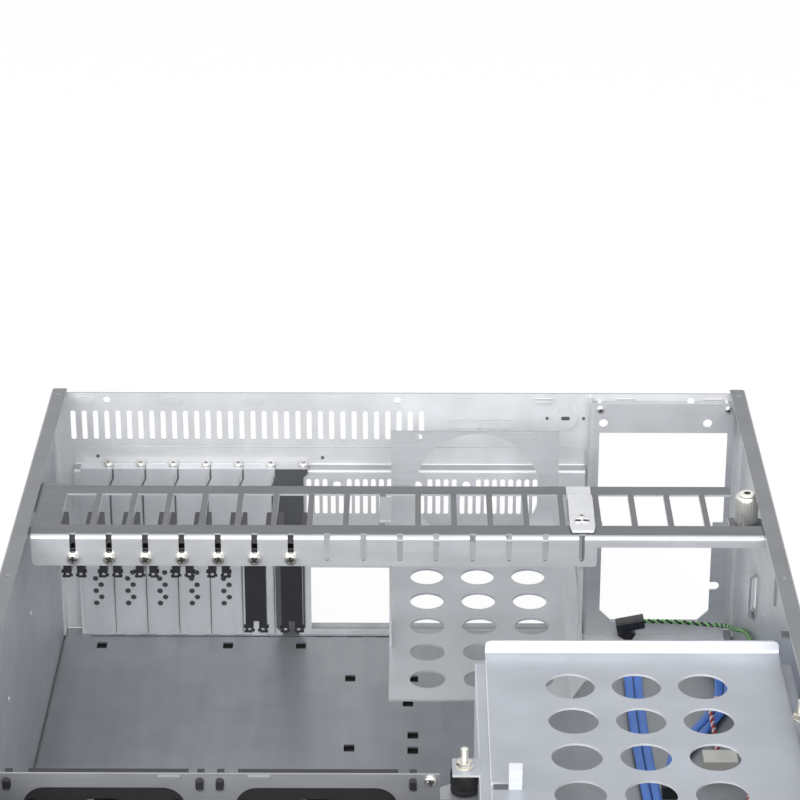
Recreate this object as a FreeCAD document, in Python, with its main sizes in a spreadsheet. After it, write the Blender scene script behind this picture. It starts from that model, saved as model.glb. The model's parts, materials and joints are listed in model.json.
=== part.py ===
import FreeCAD, Part
import math
import os
import Sketcher

# An open 4U rackmount server case, empty: folded steel tub, rear slot and supply openings, a
# card hold-down bar with adjustable clips, a hung drive tray, a drive cage and a fan bulkhead.
# Frame: X to the right seen from the front, Y to the rear, Z up; origin at the bottom centre.
# Distances named "d" run forward from the outer face of the rear panel.

SIZES = {
    # tub
    "body_width": 430,
    "body_depth": 500,
    "body_height": 170,
    "steel": 1.2,
    "bend": 1.0,
    "wall_flange": 9.5,
    "foot_flange": 14,
    "floor_seam": 1.5,
    "floor_front_flange": 11,
    "rail_hole_radius": 2,
    "rail_hole_height": 91.5,
    "rail_hole_first": 147,
    "rail_hole_pitch": 99,
    "lid_hole_radius": 1.6,
    "lid_hole_inset": 10,
    "floor_hole_width": 6.4,
    "floor_hole_length": 8,
    "drain_length": 11,
    "drain_width": 2,
    "loop_d": 100,
    "loop_length": 11.5,
    "loop_low": 67,
    "loop_height": 33,
    "loop_rise": 4,
    "ledge_length": 7,
    "small_ledge_d": 268,
    "small_ledge_level": 146,
    # rear panel
    "panel_drop": 2.5,
    "side_return": 12,
    "vent_first": -202.5,
    "vent_pitch": 7,
    "vent_count": 32,
    "vent_height": 20,
    "vent_slot": 3.2,
    "vent_drop": 24.6,
    "lock_tab_width": 11.8,
    "lock_tab_height": 4,
    "lock_tab_drop": 7.4,
    "emboss": 0.8,
    "lock_hole": 2.3,
    "badge_x": 104,
    "badge_level": 151,
    "badge_radius": 7.7,
    "rib_x": 50.5,
    "rib_level": 146.8,
    "rib_length": 43,
    "rib_width": 5.6,
    "hook_depth": 1.4,
    "hook_width": 2.2,
    "badge_slot_length": 5.5,
    "badge_slot_width": 2.6,
    # expansion slots and connector opening
    "thin": 1,
    "slot_recess": 10,
    "frame_left": -202.5,
    "frame_right": 116.7,
    "frame_top": 130.8,
    "shelf_level": 119,
    "slot_first": -190.5,
    "slot_pitch": 20.32,
    "slot_count": 7,
    "slot_opening": 13,
    "slot_opening_low": 12,
    "slot_opening_high": 108,
    "cover_width": 18.6,
    "cover_shoulder": 114,
    "ear_width": 19.8,
    "ear_shift": 2.2,
    "ear_screw_shift": 9.3,
    "ear_screw_depth": 6,
    "tongue_width": 10.2,
    "ear_notch_length": 8.4,
    "ear_notch_width": 4.2,
    "dimple_radius": 1.8,
    "dimple_depth": 0.6,
    "dimple_step": 4.4,
    "dimple_stagger": 1.7,
    "dimple_first": 25.1,
    "io_left": -55.4,
    "io_width": 158.75,
    "io_low": 6.1,
    "io_height": 44.45,
    "grille_first": -55.9,
    "grille_pitch": 5.05,
    "grille_slot": 3,
    "grille_low": 88.3,
    "grille_high": 112.8,
    "grille_short": 104,
    "grille_hole": 2.4,
    # power supply plate
    "supply_left": 118.3,
    "supply_right": 207.7,
    "supply_top": 165.6,
    "supply_recess": 12,
    "supply_foot": 21,
    "supply_window_left": 124.7,
    "supply_window_right": 204,
    "supply_window_top": 145.9,
    "supply_window_step": 84,
    "supply_window_low": 13,
    "supply_low_left": 128.2,
    "supply_low_right": 197.5,
    "supply_chamfer": 8.5,
    "supply_screw_level": 161.5,
    "supply_screw_inset": 6.6,
    "tie_slot_level": 39.2,
    "tie_slot_length": 9,
    "tie_slot_width": 5.4,
    "plate_hole_level": 152.4,
    "plate_hole": 2.8,
    "foot_hole": 2.2,
    "foot_hole_inset": 8,
    # hold-down bar
    "bar_left": -204,
    "bar_right": 206.5,
    "bar_rear": 133.8,
    "bar_front": 197,
    "bar_drop": 2,
    "bar_flange": 19.2,
    "bar_short_flange": 7.1,
    "bar_short_start": 112.3,
    "window_first": -180.8,
    "window_width": 17.1,
    "window_rear": 144.3,
    "window_front": 184,
    "window_count": 19,
    "clip_slot": 3.4,
    "clip_slot_drop": 15.8,
    "clip_slot_count": 15,
    "clip_count": 7,
    "clip_screw_drop": 14.1,
    "clip_width": 12,
    "clip_wall": 1.8,
    "clip_rib": 1.4,
    "clip_travel": 8,
    "clip_gap": 0.2,
    "prong_width": 2.6,
    "prong_length": 20,
    "prong_drop": 2.2,
    "prong_margin": 0.4,
    "short_clip_drop": 27.5,
    "long_clip_drop": 62.4,
    "foot_height": 9.5,
    "foot_gap": 3.2,
    "foot_depth": 7.5,
    "toe_height": 2.2,
    "toe_inset": 1,
    "knob_radius": 6.8,
    "knob_top_radius": 4.9,
    "knob_height": 20,
    "knob_collar": 2.4,
    "knob_x": 201.4,
    "knob_d": 142,
    "knob_shank": 2,
    "knob_margin": 1.4,
    "knob_lift": 0.1,
    "knob_reach": 9,
    "ledge_drop": 21.1,
    "bracket_reach": 22,
    "bracket_height": 24,
    "bracket_end": 6,
    "hook_tooth": 20,
    "strap_left": 97.3,
    "strap_width": 14,
    "strap_rise": 3.4,
    "strap_nose": 11,
    "strap_screw_d": 175,
    # hung tray
    "tray_left": -4,
    "tray_right": 98,
    "tray_edge": 106,
    "tray_flare": 12,
    "tray_screw_hole": 2.2,
    "hook_left": 5.5,
    "hook_right": 9.5,
    "tray_hang": 80,
    "tray_rear": 45,
    "tray_front": 240,
    "tray_top_drop": 5.6,
    "tray_fan_radius": 38,
    "tray_fan_spacing": 71.5,
    "tray_fan_rise": 34.8,
    "tray_hole_radius": 10,
    "tray_hole_pitch": 30.4,
    "tray_row_first": 93.1,
    "tray_row_pitch": 31,
    "hanger_rear": 150,
    "hanger_front": 180,
    # drive cage
    "cage_left": 47.6,
    "cage_right": 202.4,
    "cage_step": 5.4,
    "cage_top": 150,
    "cage_rear": 296,
    "cage_side_rear": 305,
    "cage_clearance": 2,
    "cage_lip": 7,
    "lip_corner": 3,
    "cage_tab_d": 419,
    "cage_tab_inset": 8.5,
    "cage_tab_run": 14,
    "cage_foot": 10,
    "cage_hole_radius": 12.8,
    "cage_column_pitch": 34.2,
    "cage_row_first": 332.5,
    "cage_row_pitch": 34.9,
    "cage_tab_width": 6.5,
    "cage_tab_height": 15,
    "damper_radius": 6.9,
    "damper_height": 13,
    "damper_x": 35,
    "damper_d": 408,
    "right_damper_d": 360,
    "damper_margin": 1.6,
    "stud_radius": 2,
    "stud_reach": 12,
    "nut_width": 7,
    "nut_height": 3.4,
    "cable_way_low": 8,
    "cable_way_high": 40,
    "cable_way_width": 48,
    # fan bulkhead and fans
    "bulkhead_d": 415,
    "bulkhead_top": 148.1,
    "bulkhead_right": 23,
    "bulkhead_foot": 14,
    "wall_clearance": 0.3,
    "carrier_slot_width": 4.3,
    "carrier_slot_height": 8,
    "carrier_hook": 3.6,
    "bridge_width": 11,
    "bridge_height": 2,
    "bridge_rise": 1.2,
    "edge_screw_inset": 4.7,
    "edge_screw_drop": 3.6,
    "fan_first": -142.5,
    "fan_pitch": 104.8,
    "fan_window": 80.2,
    "fan_window_low": 59,
    "fan_window_high": 140.2,
    "fan_window_corner": 11,
    "fan_size": 80,
    "fan_depth": 25,
    "fan_level": 95,
    "fan_bore": 38.2,
    "fan_hub": 15,
    "fan_blade_gap": 1,
    "fan_hub_gap": 0.3,
    "fan_arm_depth": 3,
    "fan_arm_width": 4,
    "fan_screw_hole": 2.15,
    "fan_screw_spacing": 71.5,
    "carrier_wall": 5.5,
    "carrier_depth": 10,
    # front
    "panel_width": 482.6,
    "panel_height": 176.8,
    "panel_thickness": 3,
    "rack_spacing_x": 465.1,
    "rack_spacing_z": 101.6,
    "rack_slot_length": 10.3,
    "rack_slot_width": 6.8,
    "handle_x": 223,
    "handle_reach": 40,
    "handle_span": 76,
    "handle_radius": 5,
    "intake_first": -186,
    "intake_pitch": 8,
    "intake_count": 25,
    "intake_slot": 4,
    "intake_length": 78,
    "bay_height": 42.3,
    "bay_low": 14,
    "bay_width": 148.6,
    "blank_depth": 14,
    "control_x": 31,
    "power_radius": 7,
    "power_level": 132,
    "power_travel": 1.5,
    "button_stop": 0.3,
    "button_stem": 2,
    "stem_reach": 1.4,
    "housing_depth": 12,
    "reset_stem": 1.2,
    "reset_radius": 2.6,
    "reset_level": 112,
    "light_radius": 1.5,
    "light_level": 98,
    "light_pitch": 9,
    "button_gap": 0.3,
    "port_level": 66,
    "signal_radius": 1.2,
    "power_lead_radius": 1.2,
    "blue_radius": 3.5,
    "screw_head": 3.2,
    "screw_height": 2.2,
    "screw_shank": 1.4,
    "screw_length": 5,
    "clip_screw_head": 3.8,
    "clip_screw_height": 3.2,
    "clip_nut": 5.6,
    "clip_nut_height": 2.2,
    "plate_screw_head": 2.4,
    "plate_screw_height": 1.6,
}

doc = FreeCAD.newDocument("server_case")
sheet = doc.addObject("Spreadsheet::Sheet", "Sizes")
for row, (word, number) in enumerate(SIZES.items(), start=1):
    sheet.set(f"A{row}", word)
    sheet.set(f"B{row}", str(number))
    sheet.setAlias(f"B{row}", word)
doc.recompute()


class Size:
    """A sheet value, or arithmetic on sheet values: a number for code, text for setExpression."""

    def __init__(self, text, value):
        self.text = text
        self.value = float(value)

    def __float__(self):
        return self.value

    def __neg__(self):
        return Size(f"(-{self.text})", -self.value)

    def __add__(self, other):
        return Size(f"({self.text} + {written(other)})", self.value + float(other))

    def __radd__(self, other):
        return Size(f"({written(other)} + {self.text})", float(other) + self.value)

    def __sub__(self, other):
        return Size(f"({self.text} - {written(other)})", self.value - float(other))

    def __rsub__(self, other):
        return Size(f"({written(other)} - {self.text})", float(other) - self.value)

    def __mul__(self, other):
        return Size(f"({self.text} * {written(other)})", self.value * float(other))

    __rmul__ = __mul__

    def __truediv__(self, other):
        return Size(f"({self.text} / {written(other)})", self.value / float(other))


def written(size):
    return size.text if isinstance(size, Size) else f"({float(size)!r})"


class Sizes:
    def __getattr__(self, word):
        return Size("Sizes." + word, sheet.get(word))


s = Sizes()
half_width = s.body_width / 2
inner_wall = half_width - s.steel
floor_top = s.steel * 2
rear = (s.body_depth + s.panel_thickness + s.handle_reach) / 2
bar_top = s.body_height - s.bar_drop
bar_under = bar_top - s.steel
ledge_level = bar_top - s.ledge_drop
tray_level = bar_top - s.tray_hang
cage_front = s.body_depth - s.cage_clearance
lock_tab_level = s.body_height - s.lock_tab_drop
nodes = []
SLOT_END = 0.293


def forward(d):
    """The Y place that lies d in front of the rear panel's outer face."""
    return rear - d


def bind(thing, **paths):
    for path, size in paths.items():
        thing.setExpression(path.replace("__", "."), written(size))


def keep(node, thing):
    thing.Label = node
    nodes.append(thing)
    return thing


# Part primitives

def block(x0, x1, y0, y1, z0, z1):
    box = doc.addObject("Part::Box", "Block")
    bind(box, Length=x1 - x0, Width=y1 - y0, Height=z1 - z0)
    bind(box, Placement__Base__x=x0, Placement__Base__y=y0, Placement__Base__z=z0)
    return box


TURNS = {
    "x": FreeCAD.Rotation(FreeCAD.Vector(0, 1, 0), 90),
    "y": FreeCAD.Rotation(FreeCAD.Vector(1, 0, 0), -90),
    "z": FreeCAD.Rotation(),
}


def rod(x, y, z, axis, radius, length):
    """A round bar that starts at x, y, z and runs along +axis."""
    bar = doc.addObject("Part::Cylinder", "Rod")
    bar.Placement = FreeCAD.Placement(FreeCAD.Vector(), TURNS[axis])
    bind(bar, Radius=radius, Height=length)
    bind(bar, Placement__Base__x=x, Placement__Base__y=y, Placement__Base__z=z)
    return bar


def taper(x, y, z, axis, first, last, length):
    """A round bar that narrows or widens from one radius to another along +axis."""
    cone = doc.addObject("Part::Cone", "Taper")
    cone.Placement = FreeCAD.Placement(FreeCAD.Vector(), TURNS[axis])
    bind(cone, Radius1=first, Radius2=last, Height=length)
    bind(cone, Placement__Base__x=x, Placement__Base__y=y, Placement__Base__z=z)
    return cone


def join(*things):
    fused = doc.addObject("Part::MultiFuse", "Join")
    fused.Shapes = list(things)
    fused.Refine = True
    return fused


def group(*things):
    held = doc.addObject("Part::Compound", "Group")
    held.Links = list(things)
    return held


def cut(base, *tools):
    taken = doc.addObject("Part::Cut", "Cut")
    taken.Base = base
    taken.Tool = tools[0] if len(tools) == 1 else group(*tools)
    return taken


# Sketches and PartDesign features

PLANES = {"x": "YZ_Plane", "y": "XZ_Plane", "z": "XY_Plane"}


def body(node):
    return keep(node, doc.addObject("PartDesign::Body", node))


def sketch(owner, normal, at):
    """A sketch across one axis, at a place on it; its own axes are the other two, in order."""
    drawn = owner.newObject("Sketcher::SketchObject", "Sketch")
    plane = next(f for f in owner.Origin.OriginFeatures if f.Role == PLANES[normal])
    drawn.AttachmentSupport = (plane, [""])
    drawn.MapMode = "FlatFace"
    bind(drawn, AttachmentOffset__Base__z=-at if normal == "y" else at)
    return drawn


def fix(drawn, kind, geometry, point, size):
    """Hold a sketch point at a distance from the origin, or a radius at a size."""
    if kind == "Radius":
        number = drawn.addConstraint(Sketcher.Constraint(kind, geometry, float(size)))
    else:
        number = drawn.addConstraint(Sketcher.Constraint(kind, -1, 1, geometry, point, float(size)))
    drawn.setExpression(f"Constraints[{number}]", written(size))


def polygon(drawn, points):
    """A closed outline of straight edges; each corner is held by its two distances."""
    first = drawn.GeometryCount
    count = len(points)
    for i, (u, v) in enumerate(points):
        next_u, next_v = points[(i + 1) % count]
        start = FreeCAD.Vector(float(u), float(v), 0)
        drawn.addGeometry(Part.LineSegment(start, FreeCAD.Vector(float(next_u), float(next_v), 0)))
    for i, (u, v) in enumerate(points):
        after = first + (i + 1) % count
        drawn.addConstraint(Sketcher.Constraint("Coincident", first + i, 2, after, 1))
        fix(drawn, "DistanceX", first + i, 1, u)
        fix(drawn, "DistanceY", first + i, 1, v)


def rectangle(drawn, u0, u1, v0, v1):
    polygon(drawn, [(u0, v0), (u1, v0), (u1, v1), (u0, v1)])


def circle(drawn, u, v, radius):
    centre = FreeCAD.Vector(float(u), float(v), 0)
    number = drawn.addGeometry(Part.Circle(centre, FreeCAD.Vector(0, 0, 1), float(radius)))
    fix(drawn, "DistanceX", number, 3, u)
    fix(drawn, "DistanceY", number, 3, v)
    fix(drawn, "Radius", number, 0, radius)


def outline(drawn, corners):
    """A closed outline of level and upright edges; a corner is (u, v) or (u, v, radius)."""
    spots = [(float(c[0]), float(c[1]), float(c[2]) if len(c) > 2 else 0.0) for c in corners]
    count = len(spots)
    turn = sum(a[0] * b[1] - b[0] * a[1] for a, b in zip(spots, spots[1:] + spots[:1]))
    ways = []
    for (u, v, _), (next_u, next_v, _) in zip(spots, spots[1:] + spots[:1]):
        length = math.hypot(next_u - u, next_v - v)
        ways.append(((next_u - u) / length, (next_v - v) / length))
    edges, arcs = [], {}
    for i, (u, v, radius) in enumerate(spots):
        next_u, next_v, next_radius = spots[(i + 1) % count]
        way = ways[i]
        start = FreeCAD.Vector(u + way[0] * radius, v + way[1] * radius, 0)
        end = FreeCAD.Vector(next_u - way[0] * next_radius, next_v - way[1] * next_radius, 0)
        edges.append(drawn.addGeometry(Part.LineSegment(start, end)))
    for i, (u, v, radius) in enumerate(spots):
        if not radius:
            continue
        before, after = ways[i - 1], ways[i]
        left = before[0] * after[1] - before[1] * after[0] > 0
        centre = FreeCAD.Vector(u + (after[0] - before[0]) * radius,
                                v + (after[1] - before[1]) * radius, 0)
        here = math.atan2(v - before[1] * radius - centre.y, u - before[0] * radius - centre.x)
        there = math.atan2(v + after[1] * radius - centre.y, u + after[0] * radius - centre.x)
        start, end = (here, there) if left else (there, here)
        round_edge = Part.Circle(centre, FreeCAD.Vector(0, 0, 1), radius)
        arcs[i] = (drawn.addGeometry(Part.ArcOfCircle(round_edge, start, end)), left)
    for i, edge in enumerate(edges):
        level = abs(ways[i][0]) > abs(ways[i][1])
        drawn.addConstraint(Sketcher.Constraint("Horizontal" if level else "Vertical", edge))
        u, v = corners[i][0], corners[i][1]
        if level:
            fix(drawn, "DistanceY", edge, 1, v)
        else:
            fix(drawn, "DistanceX", edge, 1, u)
    for i, edge in enumerate(edges):
        before = edges[i - 1]
        if i not in arcs:
            drawn.addConstraint(Sketcher.Constraint("Coincident", before, 2, edge, 1))
            continue
        arc, left = arcs[i]
        first, second = (1, 2) if left else (2, 1)
        drawn.addConstraint(Sketcher.Constraint("Tangent", before, 2, arc, first))
        drawn.addConstraint(Sketcher.Constraint("Tangent", arc, second, edge, 1))
        fix(drawn, "Radius", arc, 0, corners[i][2])


def slot_outline(drawn, u, v, width, height):
    """A slot centred on u, v, its ends cut back at each corner to near half rounds."""
    narrow = width if float(width) < float(height) else height
    back = narrow * SLOT_END
    right, top = width / 2, height / 2
    polygon(drawn, [
        (u - right + back, v - top),
        (u + right - back, v - top),
        (u + right, v - top + back),
        (u + right, v + top - back),
        (u + right - back, v + top),
        (u - right + back, v + top),
        (u - right, v + top - back),
        (u - right, v - top + back),
    ])


def round_slot(drawn, u, v, length, width):
    """A level slot with half-round ends, centred on u, v."""
    reach = (length - width) / 2
    radius = width / 2
    level, rise = float(v), float(radius)
    right, left = float(u + reach), float(u - reach)
    first = drawn.GeometryCount
    for middle, turn in ((right, -0.5), (left, 0.5)):
        end = Part.Circle(FreeCAD.Vector(middle, level, 0), FreeCAD.Vector(0, 0, 1), rise)
        drawn.addGeometry(Part.ArcOfCircle(end, turn * math.pi, (turn + 1) * math.pi))
    for start, end, height in ((right, left, level + rise), (left, right, level - rise)):
        drawn.addGeometry(Part.LineSegment(FreeCAD.Vector(start, height, 0),
                                           FreeCAD.Vector(end, height, 0)))
    for arc, place in ((first, u + reach), (first + 1, u - reach)):
        fix(drawn, "DistanceX", arc, 3, place)
        fix(drawn, "DistanceY", arc, 3, v)
        fix(drawn, "Radius", arc, 0, radius)
    for before, after in ((0, 2), (2, 1), (1, 3), (3, 0)):
        drawn.addConstraint(Sketcher.Constraint("Tangent", first + before, 2,
                                                first + after, 1))


def eight_sided(drawn, u, v, radius):
    slot_outline(drawn, u, v, radius * 2, radius * 2)


def pad(owner, drawn, length):
    """Raise a sketch towards +axis by a length."""
    raised = owner.newObject("PartDesign::Pad", "Pad")
    raised.Profile = drawn
    raised.Reversed = "XZ_Plane" in drawn.AttachmentSupport[0][0].Role
    bind(raised, Length=length)
    drawn.Visibility = False
    return raised


def pocket(owner, drawn, depth):
    """Cut a sketch half of depth to each side of its plane."""
    sunk = owner.newObject("PartDesign::Pocket", "Pocket")
    sunk.Profile = drawn
    sunk.SideType = "Symmetric"
    bind(sunk, Length=depth)
    return sunk


def repeat(owner, feature, axis, pitch, count):
    """Copies of a feature in a row along +axis."""
    line = owner.newObject("PartDesign::LinearPattern", "Row")
    line.Originals = [feature]
    role = {"x": "X_Axis", "y": "Y_Axis", "z": "Z_Axis"}[axis]
    way = next(f for f in owner.Origin.OriginFeatures if f.Role == role)
    line.Direction = (way, [""])
    line.Mode = "Spacing"
    bind(line, Offset=pitch, Occurrences=count)
    owner.Tip = line
    return line


def counted(size):
    return int(round(float(size)))


# Floor pan: one sheet with its front edge folded up behind the front panel. It lies on the
# bottom flanges of the walls and of the rear panel.
floor_half = inner_wall - s.floor_seam
floor_pan = body("floor_pan")
section = sketch(floor_pan, "x", -floor_half)
front_end = forward(s.body_depth)
outline(section, [
    (forward(s.steel + s.bend), floor_top - s.steel),
    (forward(s.steel + s.bend), floor_top),
    (front_end + s.steel, floor_top, s.bend),
    (front_end + s.steel, floor_top + s.floor_front_flange),
    (front_end, floor_top + s.floor_front_flange),
    (front_end, floor_top - s.steel, s.bend + s.steel),
])
pad(floor_pan, section, floor_half * 2)
FLOOR_HOLES = [(-188.4, 25), (-108.2, 25), (-61.8, 25), (-29.5, 66.5), (-28.5, 150), (9.5, 67),
               (6.5, 97), (9.5, 135), (9.5, 152.5), (-188.4, 190), (-108.2, 300), (-29.5, 320)]
holes = sketch(floor_pan, "z", floor_top - s.steel / 2)
for x, d in FLOOR_HOLES:
    rectangle(holes, x - s.floor_hole_width / 2, x + s.floor_hole_width / 2,
              forward(d + s.floor_hole_length / 2), forward(d - s.floor_hole_length / 2))
pocket(floor_pan, holes, s.steel * 2)
drain = sketch(floor_pan, "z", floor_top - s.steel / 2)
slot_outline(drain, s.io_left + 8, forward(s.slot_recess + 3), s.drain_length, s.drain_width)
repeat(floor_pan, pocket(floor_pan, drain, s.steel * 2), "x", 19.5, 7)

# Side walls: each is a channel, its top flange folded in to carry the lid and its bottom
# flange folded in under the floor.
for side, node in ((-1, "left_side_wall"), (1, "right_side_wall")):
    wall = body(node)
    section = sketch(wall, "y", forward(s.body_depth))
    outline(section, [
        (side * half_width, 0, s.bend + s.steel),
        (side * half_width, s.body_height, s.bend + s.steel),
        (side * (half_width - s.wall_flange), s.body_height),
        (side * (half_width - s.wall_flange), s.body_height - s.steel),
        (side * inner_wall, s.body_height - s.steel, s.bend),
        (side * inner_wall, s.steel, s.bend),
        (side * (half_width - s.foot_flange), s.steel),
        (side * (half_width - s.foot_flange), 0),
    ])
    pad(wall, section, s.body_depth)
    lid_holes = sketch(wall, "z", s.body_height - s.steel / 2)
    for d in (s.lid_hole_inset, s.body_depth / 2, s.body_depth - s.lid_hole_inset):
        circle(lid_holes, side * (half_width - s.wall_flange / 2 - 0.5), forward(d),
               s.lid_hole_radius)
    pocket(wall, lid_holes, s.steel * 2)
    rail_hole = sketch(wall, "x", side * (half_width - s.steel / 2))
    circle(rail_hole, forward(s.rail_hole_first + 3 * s.rail_hole_pitch), s.rail_hole_height,
           s.rail_hole_radius)
    repeat(wall, pocket(wall, rail_hole, s.steel * 2), "y", s.rail_hole_pitch, 4)
# The right wall has a tie loop pressed inward behind a window, and two small ledges.
loop_top = s.loop_low + s.loop_height
loop_window = sketch(wall, "x", half_width - s.steel / 2)
rectangle(loop_window, forward(s.loop_d + s.loop_length), forward(s.loop_d),
          s.loop_low + s.loop_rise, loop_top - s.loop_rise)
pocket(wall, loop_window, s.steel * 2)
loop = sketch(wall, "y", forward(s.loop_d + s.loop_length - s.steel))
polygon(loop, [
    (inner_wall, s.loop_low),
    (inner_wall - s.loop_rise, s.loop_low + s.loop_rise),
    (inner_wall - s.loop_rise, loop_top - s.loop_rise),
    (inner_wall, loop_top),
    (inner_wall + s.steel / 2, loop_top),
    (inner_wall + s.steel / 2, loop_top - s.steel),
    (inner_wall - s.loop_rise + s.steel, loop_top - s.loop_rise - s.steel / 2),
    (inner_wall - s.loop_rise + s.steel, s.loop_low + s.loop_rise + s.steel / 2),
    (inner_wall + s.steel / 2, s.loop_low + s.steel),
    (inner_wall + s.steel / 2, s.loop_low),
])
pad(wall, loop, s.loop_length - s.steel * 2)
damper_top = s.cage_top - s.steel * 3
right_damper_x = inner_wall - s.damper_radius - s.wall_clearance
damper_low = damper_top - s.damper_height
right_seat = right_damper_x - s.damper_radius
for level, inner_end, d, run in (
        (s.small_ledge_level, inner_wall - s.ledge_length, s.small_ledge_d, s.ledge_length),
        (damper_low - s.steel, right_seat, s.right_damper_d - s.damper_radius,
         s.damper_radius * 2)):
    ledge = sketch(wall, "z", level)
    rectangle(ledge, inner_end, inner_wall + s.steel / 2, forward(d + run), forward(d))
    pad(wall, ledge, s.steel)

# Rear panel: a shallow tray whose side edges fold forward against the walls and whose bottom
# edge folds forward under the floor. Vents, keyholes and embossed tabs are pressed in it.
panel_top = s.body_height - s.panel_drop
rear_panel = body("rear_panel")
section = sketch(rear_panel, "z", s.steel + s.bend)
outline(section, [
    (-inner_wall, forward(0), s.bend + s.steel),
    (-inner_wall, forward(s.side_return)),
    (-inner_wall + s.steel, forward(s.side_return)),
    (-inner_wall + s.steel, forward(s.steel), s.bend),
    (inner_wall - s.steel, forward(s.steel), s.bend),
    (inner_wall - s.steel, forward(s.side_return)),
    (inner_wall, forward(s.side_return)),
    (inner_wall, forward(0), s.bend + s.steel),
])
pad(rear_panel, section, panel_top - s.steel - s.bend)
foot_half = half_width - s.foot_flange - s.floor_seam
foot = sketch(rear_panel, "x", -foot_half)
outline(foot, [
    (forward(0), 0, s.bend + s.steel),
    (forward(0), s.steel * 3),
    (forward(s.steel), s.steel * 3),
    (forward(s.steel), s.steel, s.bend),
    (forward(s.side_return), s.steel),
    (forward(s.side_return), 0),
])
pad(rear_panel, foot, foot_half * 2)
apertures = sketch(rear_panel, "y", forward(s.steel / 2))
rectangle(apertures, s.frame_left + 5, s.frame_right - 6, floor_top + 3, s.shelf_level + 1)
rectangle(apertures, s.supply_left + 4, s.supply_window_right + 2, floor_top + 6,
          s.supply_window_top + 8)
for x in (-181, -0.5, 181.5):
    circle(apertures, x, lock_tab_level, s.lock_hole)
pocket(rear_panel, apertures, s.steel * 3)
vent = sketch(rear_panel, "y", forward(s.steel / 2))
slot_outline(vent, s.vent_first, (s.body_height - s.vent_drop), s.vent_slot, s.vent_height)
repeat(rear_panel, pocket(rear_panel, vent, s.steel * 3), "x", s.vent_pitch, s.vent_count)
tabs = sketch(rear_panel, "y", forward(s.steel + s.emboss))
for x in (-195.5, -140.7, -90.5, -40.3, 40.3):
    slot_outline(tabs, x, lock_tab_level, s.lock_tab_width, s.lock_tab_height)
slot_outline(tabs, s.rib_x, s.rib_level, s.rib_length, s.rib_width)
circle(tabs, s.badge_x, s.badge_level, s.badge_radius)
pad(rear_panel, tabs, s.emboss)
hooks = sketch(rear_panel, "y", forward(s.steel / 2))
for x in (90.5, 140.7, 195.5):
    slot_outline(hooks, x, lock_tab_level, s.lock_tab_width, s.lock_tab_height)
slot_outline(hooks, s.badge_x, s.badge_level, s.badge_slot_length, s.badge_slot_width)
pocket(rear_panel, hooks, s.steel * 4)
hook_bars = sketch(rear_panel, "y", forward(s.steel + s.hook_depth))
for x in (90.5, 140.7, 195.5):
    rectangle(hook_bars, x - s.lock_tab_width / 2 - s.steel, x + s.lock_tab_width / 2,
              lock_tab_level - s.hook_width / 2, lock_tab_level + s.hook_width / 2)
pad(rear_panel, hook_bars, s.hook_depth - s.steel + s.hook_depth)

# Slot frame: a sheet folded twice. Its top edge is fixed behind the rear panel, a shelf takes
# the ears of the covers and screws, and the face holds seven slots, the connector opening and
# a grille over it.
slot_face = forward(s.slot_recess)
slot_frame = body("slot_frame")
section = sketch(slot_frame, "x", s.frame_left)
outline(section, [
    (forward(s.steel), s.frame_top),
    (forward(s.steel), s.shelf_level - s.thin, s.bend + s.thin),
    (slot_face + s.thin, s.shelf_level - s.thin, s.bend),
    (slot_face + s.thin, floor_top),
    (slot_face, floor_top),
    (slot_face, s.shelf_level, s.bend + s.thin),
    (forward(s.steel + s.thin), s.shelf_level, s.bend),
    (forward(s.steel + s.thin), s.frame_top),
])
pad(slot_frame, section, s.frame_right - s.frame_left)
opening = sketch(slot_frame, "y", slot_face + s.thin / 2)
rectangle(opening, s.slot_first - s.slot_opening / 2, s.slot_first + s.slot_opening / 2,
          s.slot_opening_low, s.slot_opening_high)
repeat(slot_frame, pocket(slot_frame, opening, s.thin * 3), "x", s.slot_pitch, s.slot_count)
screw_hole = sketch(slot_frame, "z", s.shelf_level - s.thin / 2)
circle(screw_hole, s.slot_first + s.ear_screw_shift, forward(s.ear_screw_depth), 1.5)
repeat(slot_frame, pocket(slot_frame, screw_hole, s.thin * 3), "x", s.slot_pitch, s.slot_count)
connectors = sketch(slot_frame, "y", slot_face + s.thin / 2)
rectangle(connectors, s.io_left, s.io_left + s.io_width, s.io_low, s.io_low + s.io_height)
for step in (3.5, 13.5, 19.5):
    eight_sided(connectors, s.grille_first + s.grille_pitch * step, s.grille_high - 4,
                s.grille_hole)
pocket(slot_frame, connectors, s.thin * 3)
for first, count, high in ((0, 3, s.grille_high), (3, 2, s.grille_short), (5, 8, s.grille_high),
                           (13, 2, s.grille_short), (15, 4, s.grille_high),
                           (19, 2, s.grille_short), (21, 8, s.grille_high)):
    bar_gap = sketch(slot_frame, "y", slot_face + s.thin / 2)
    slot_outline(bar_gap, s.grille_first + s.grille_pitch * first, (high + s.grille_low) / 2,
                 s.grille_slot, high - s.grille_low)
    repeat(slot_frame, pocket(slot_frame, bar_gap, s.thin * 3), "x", s.grille_pitch, count)

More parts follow.
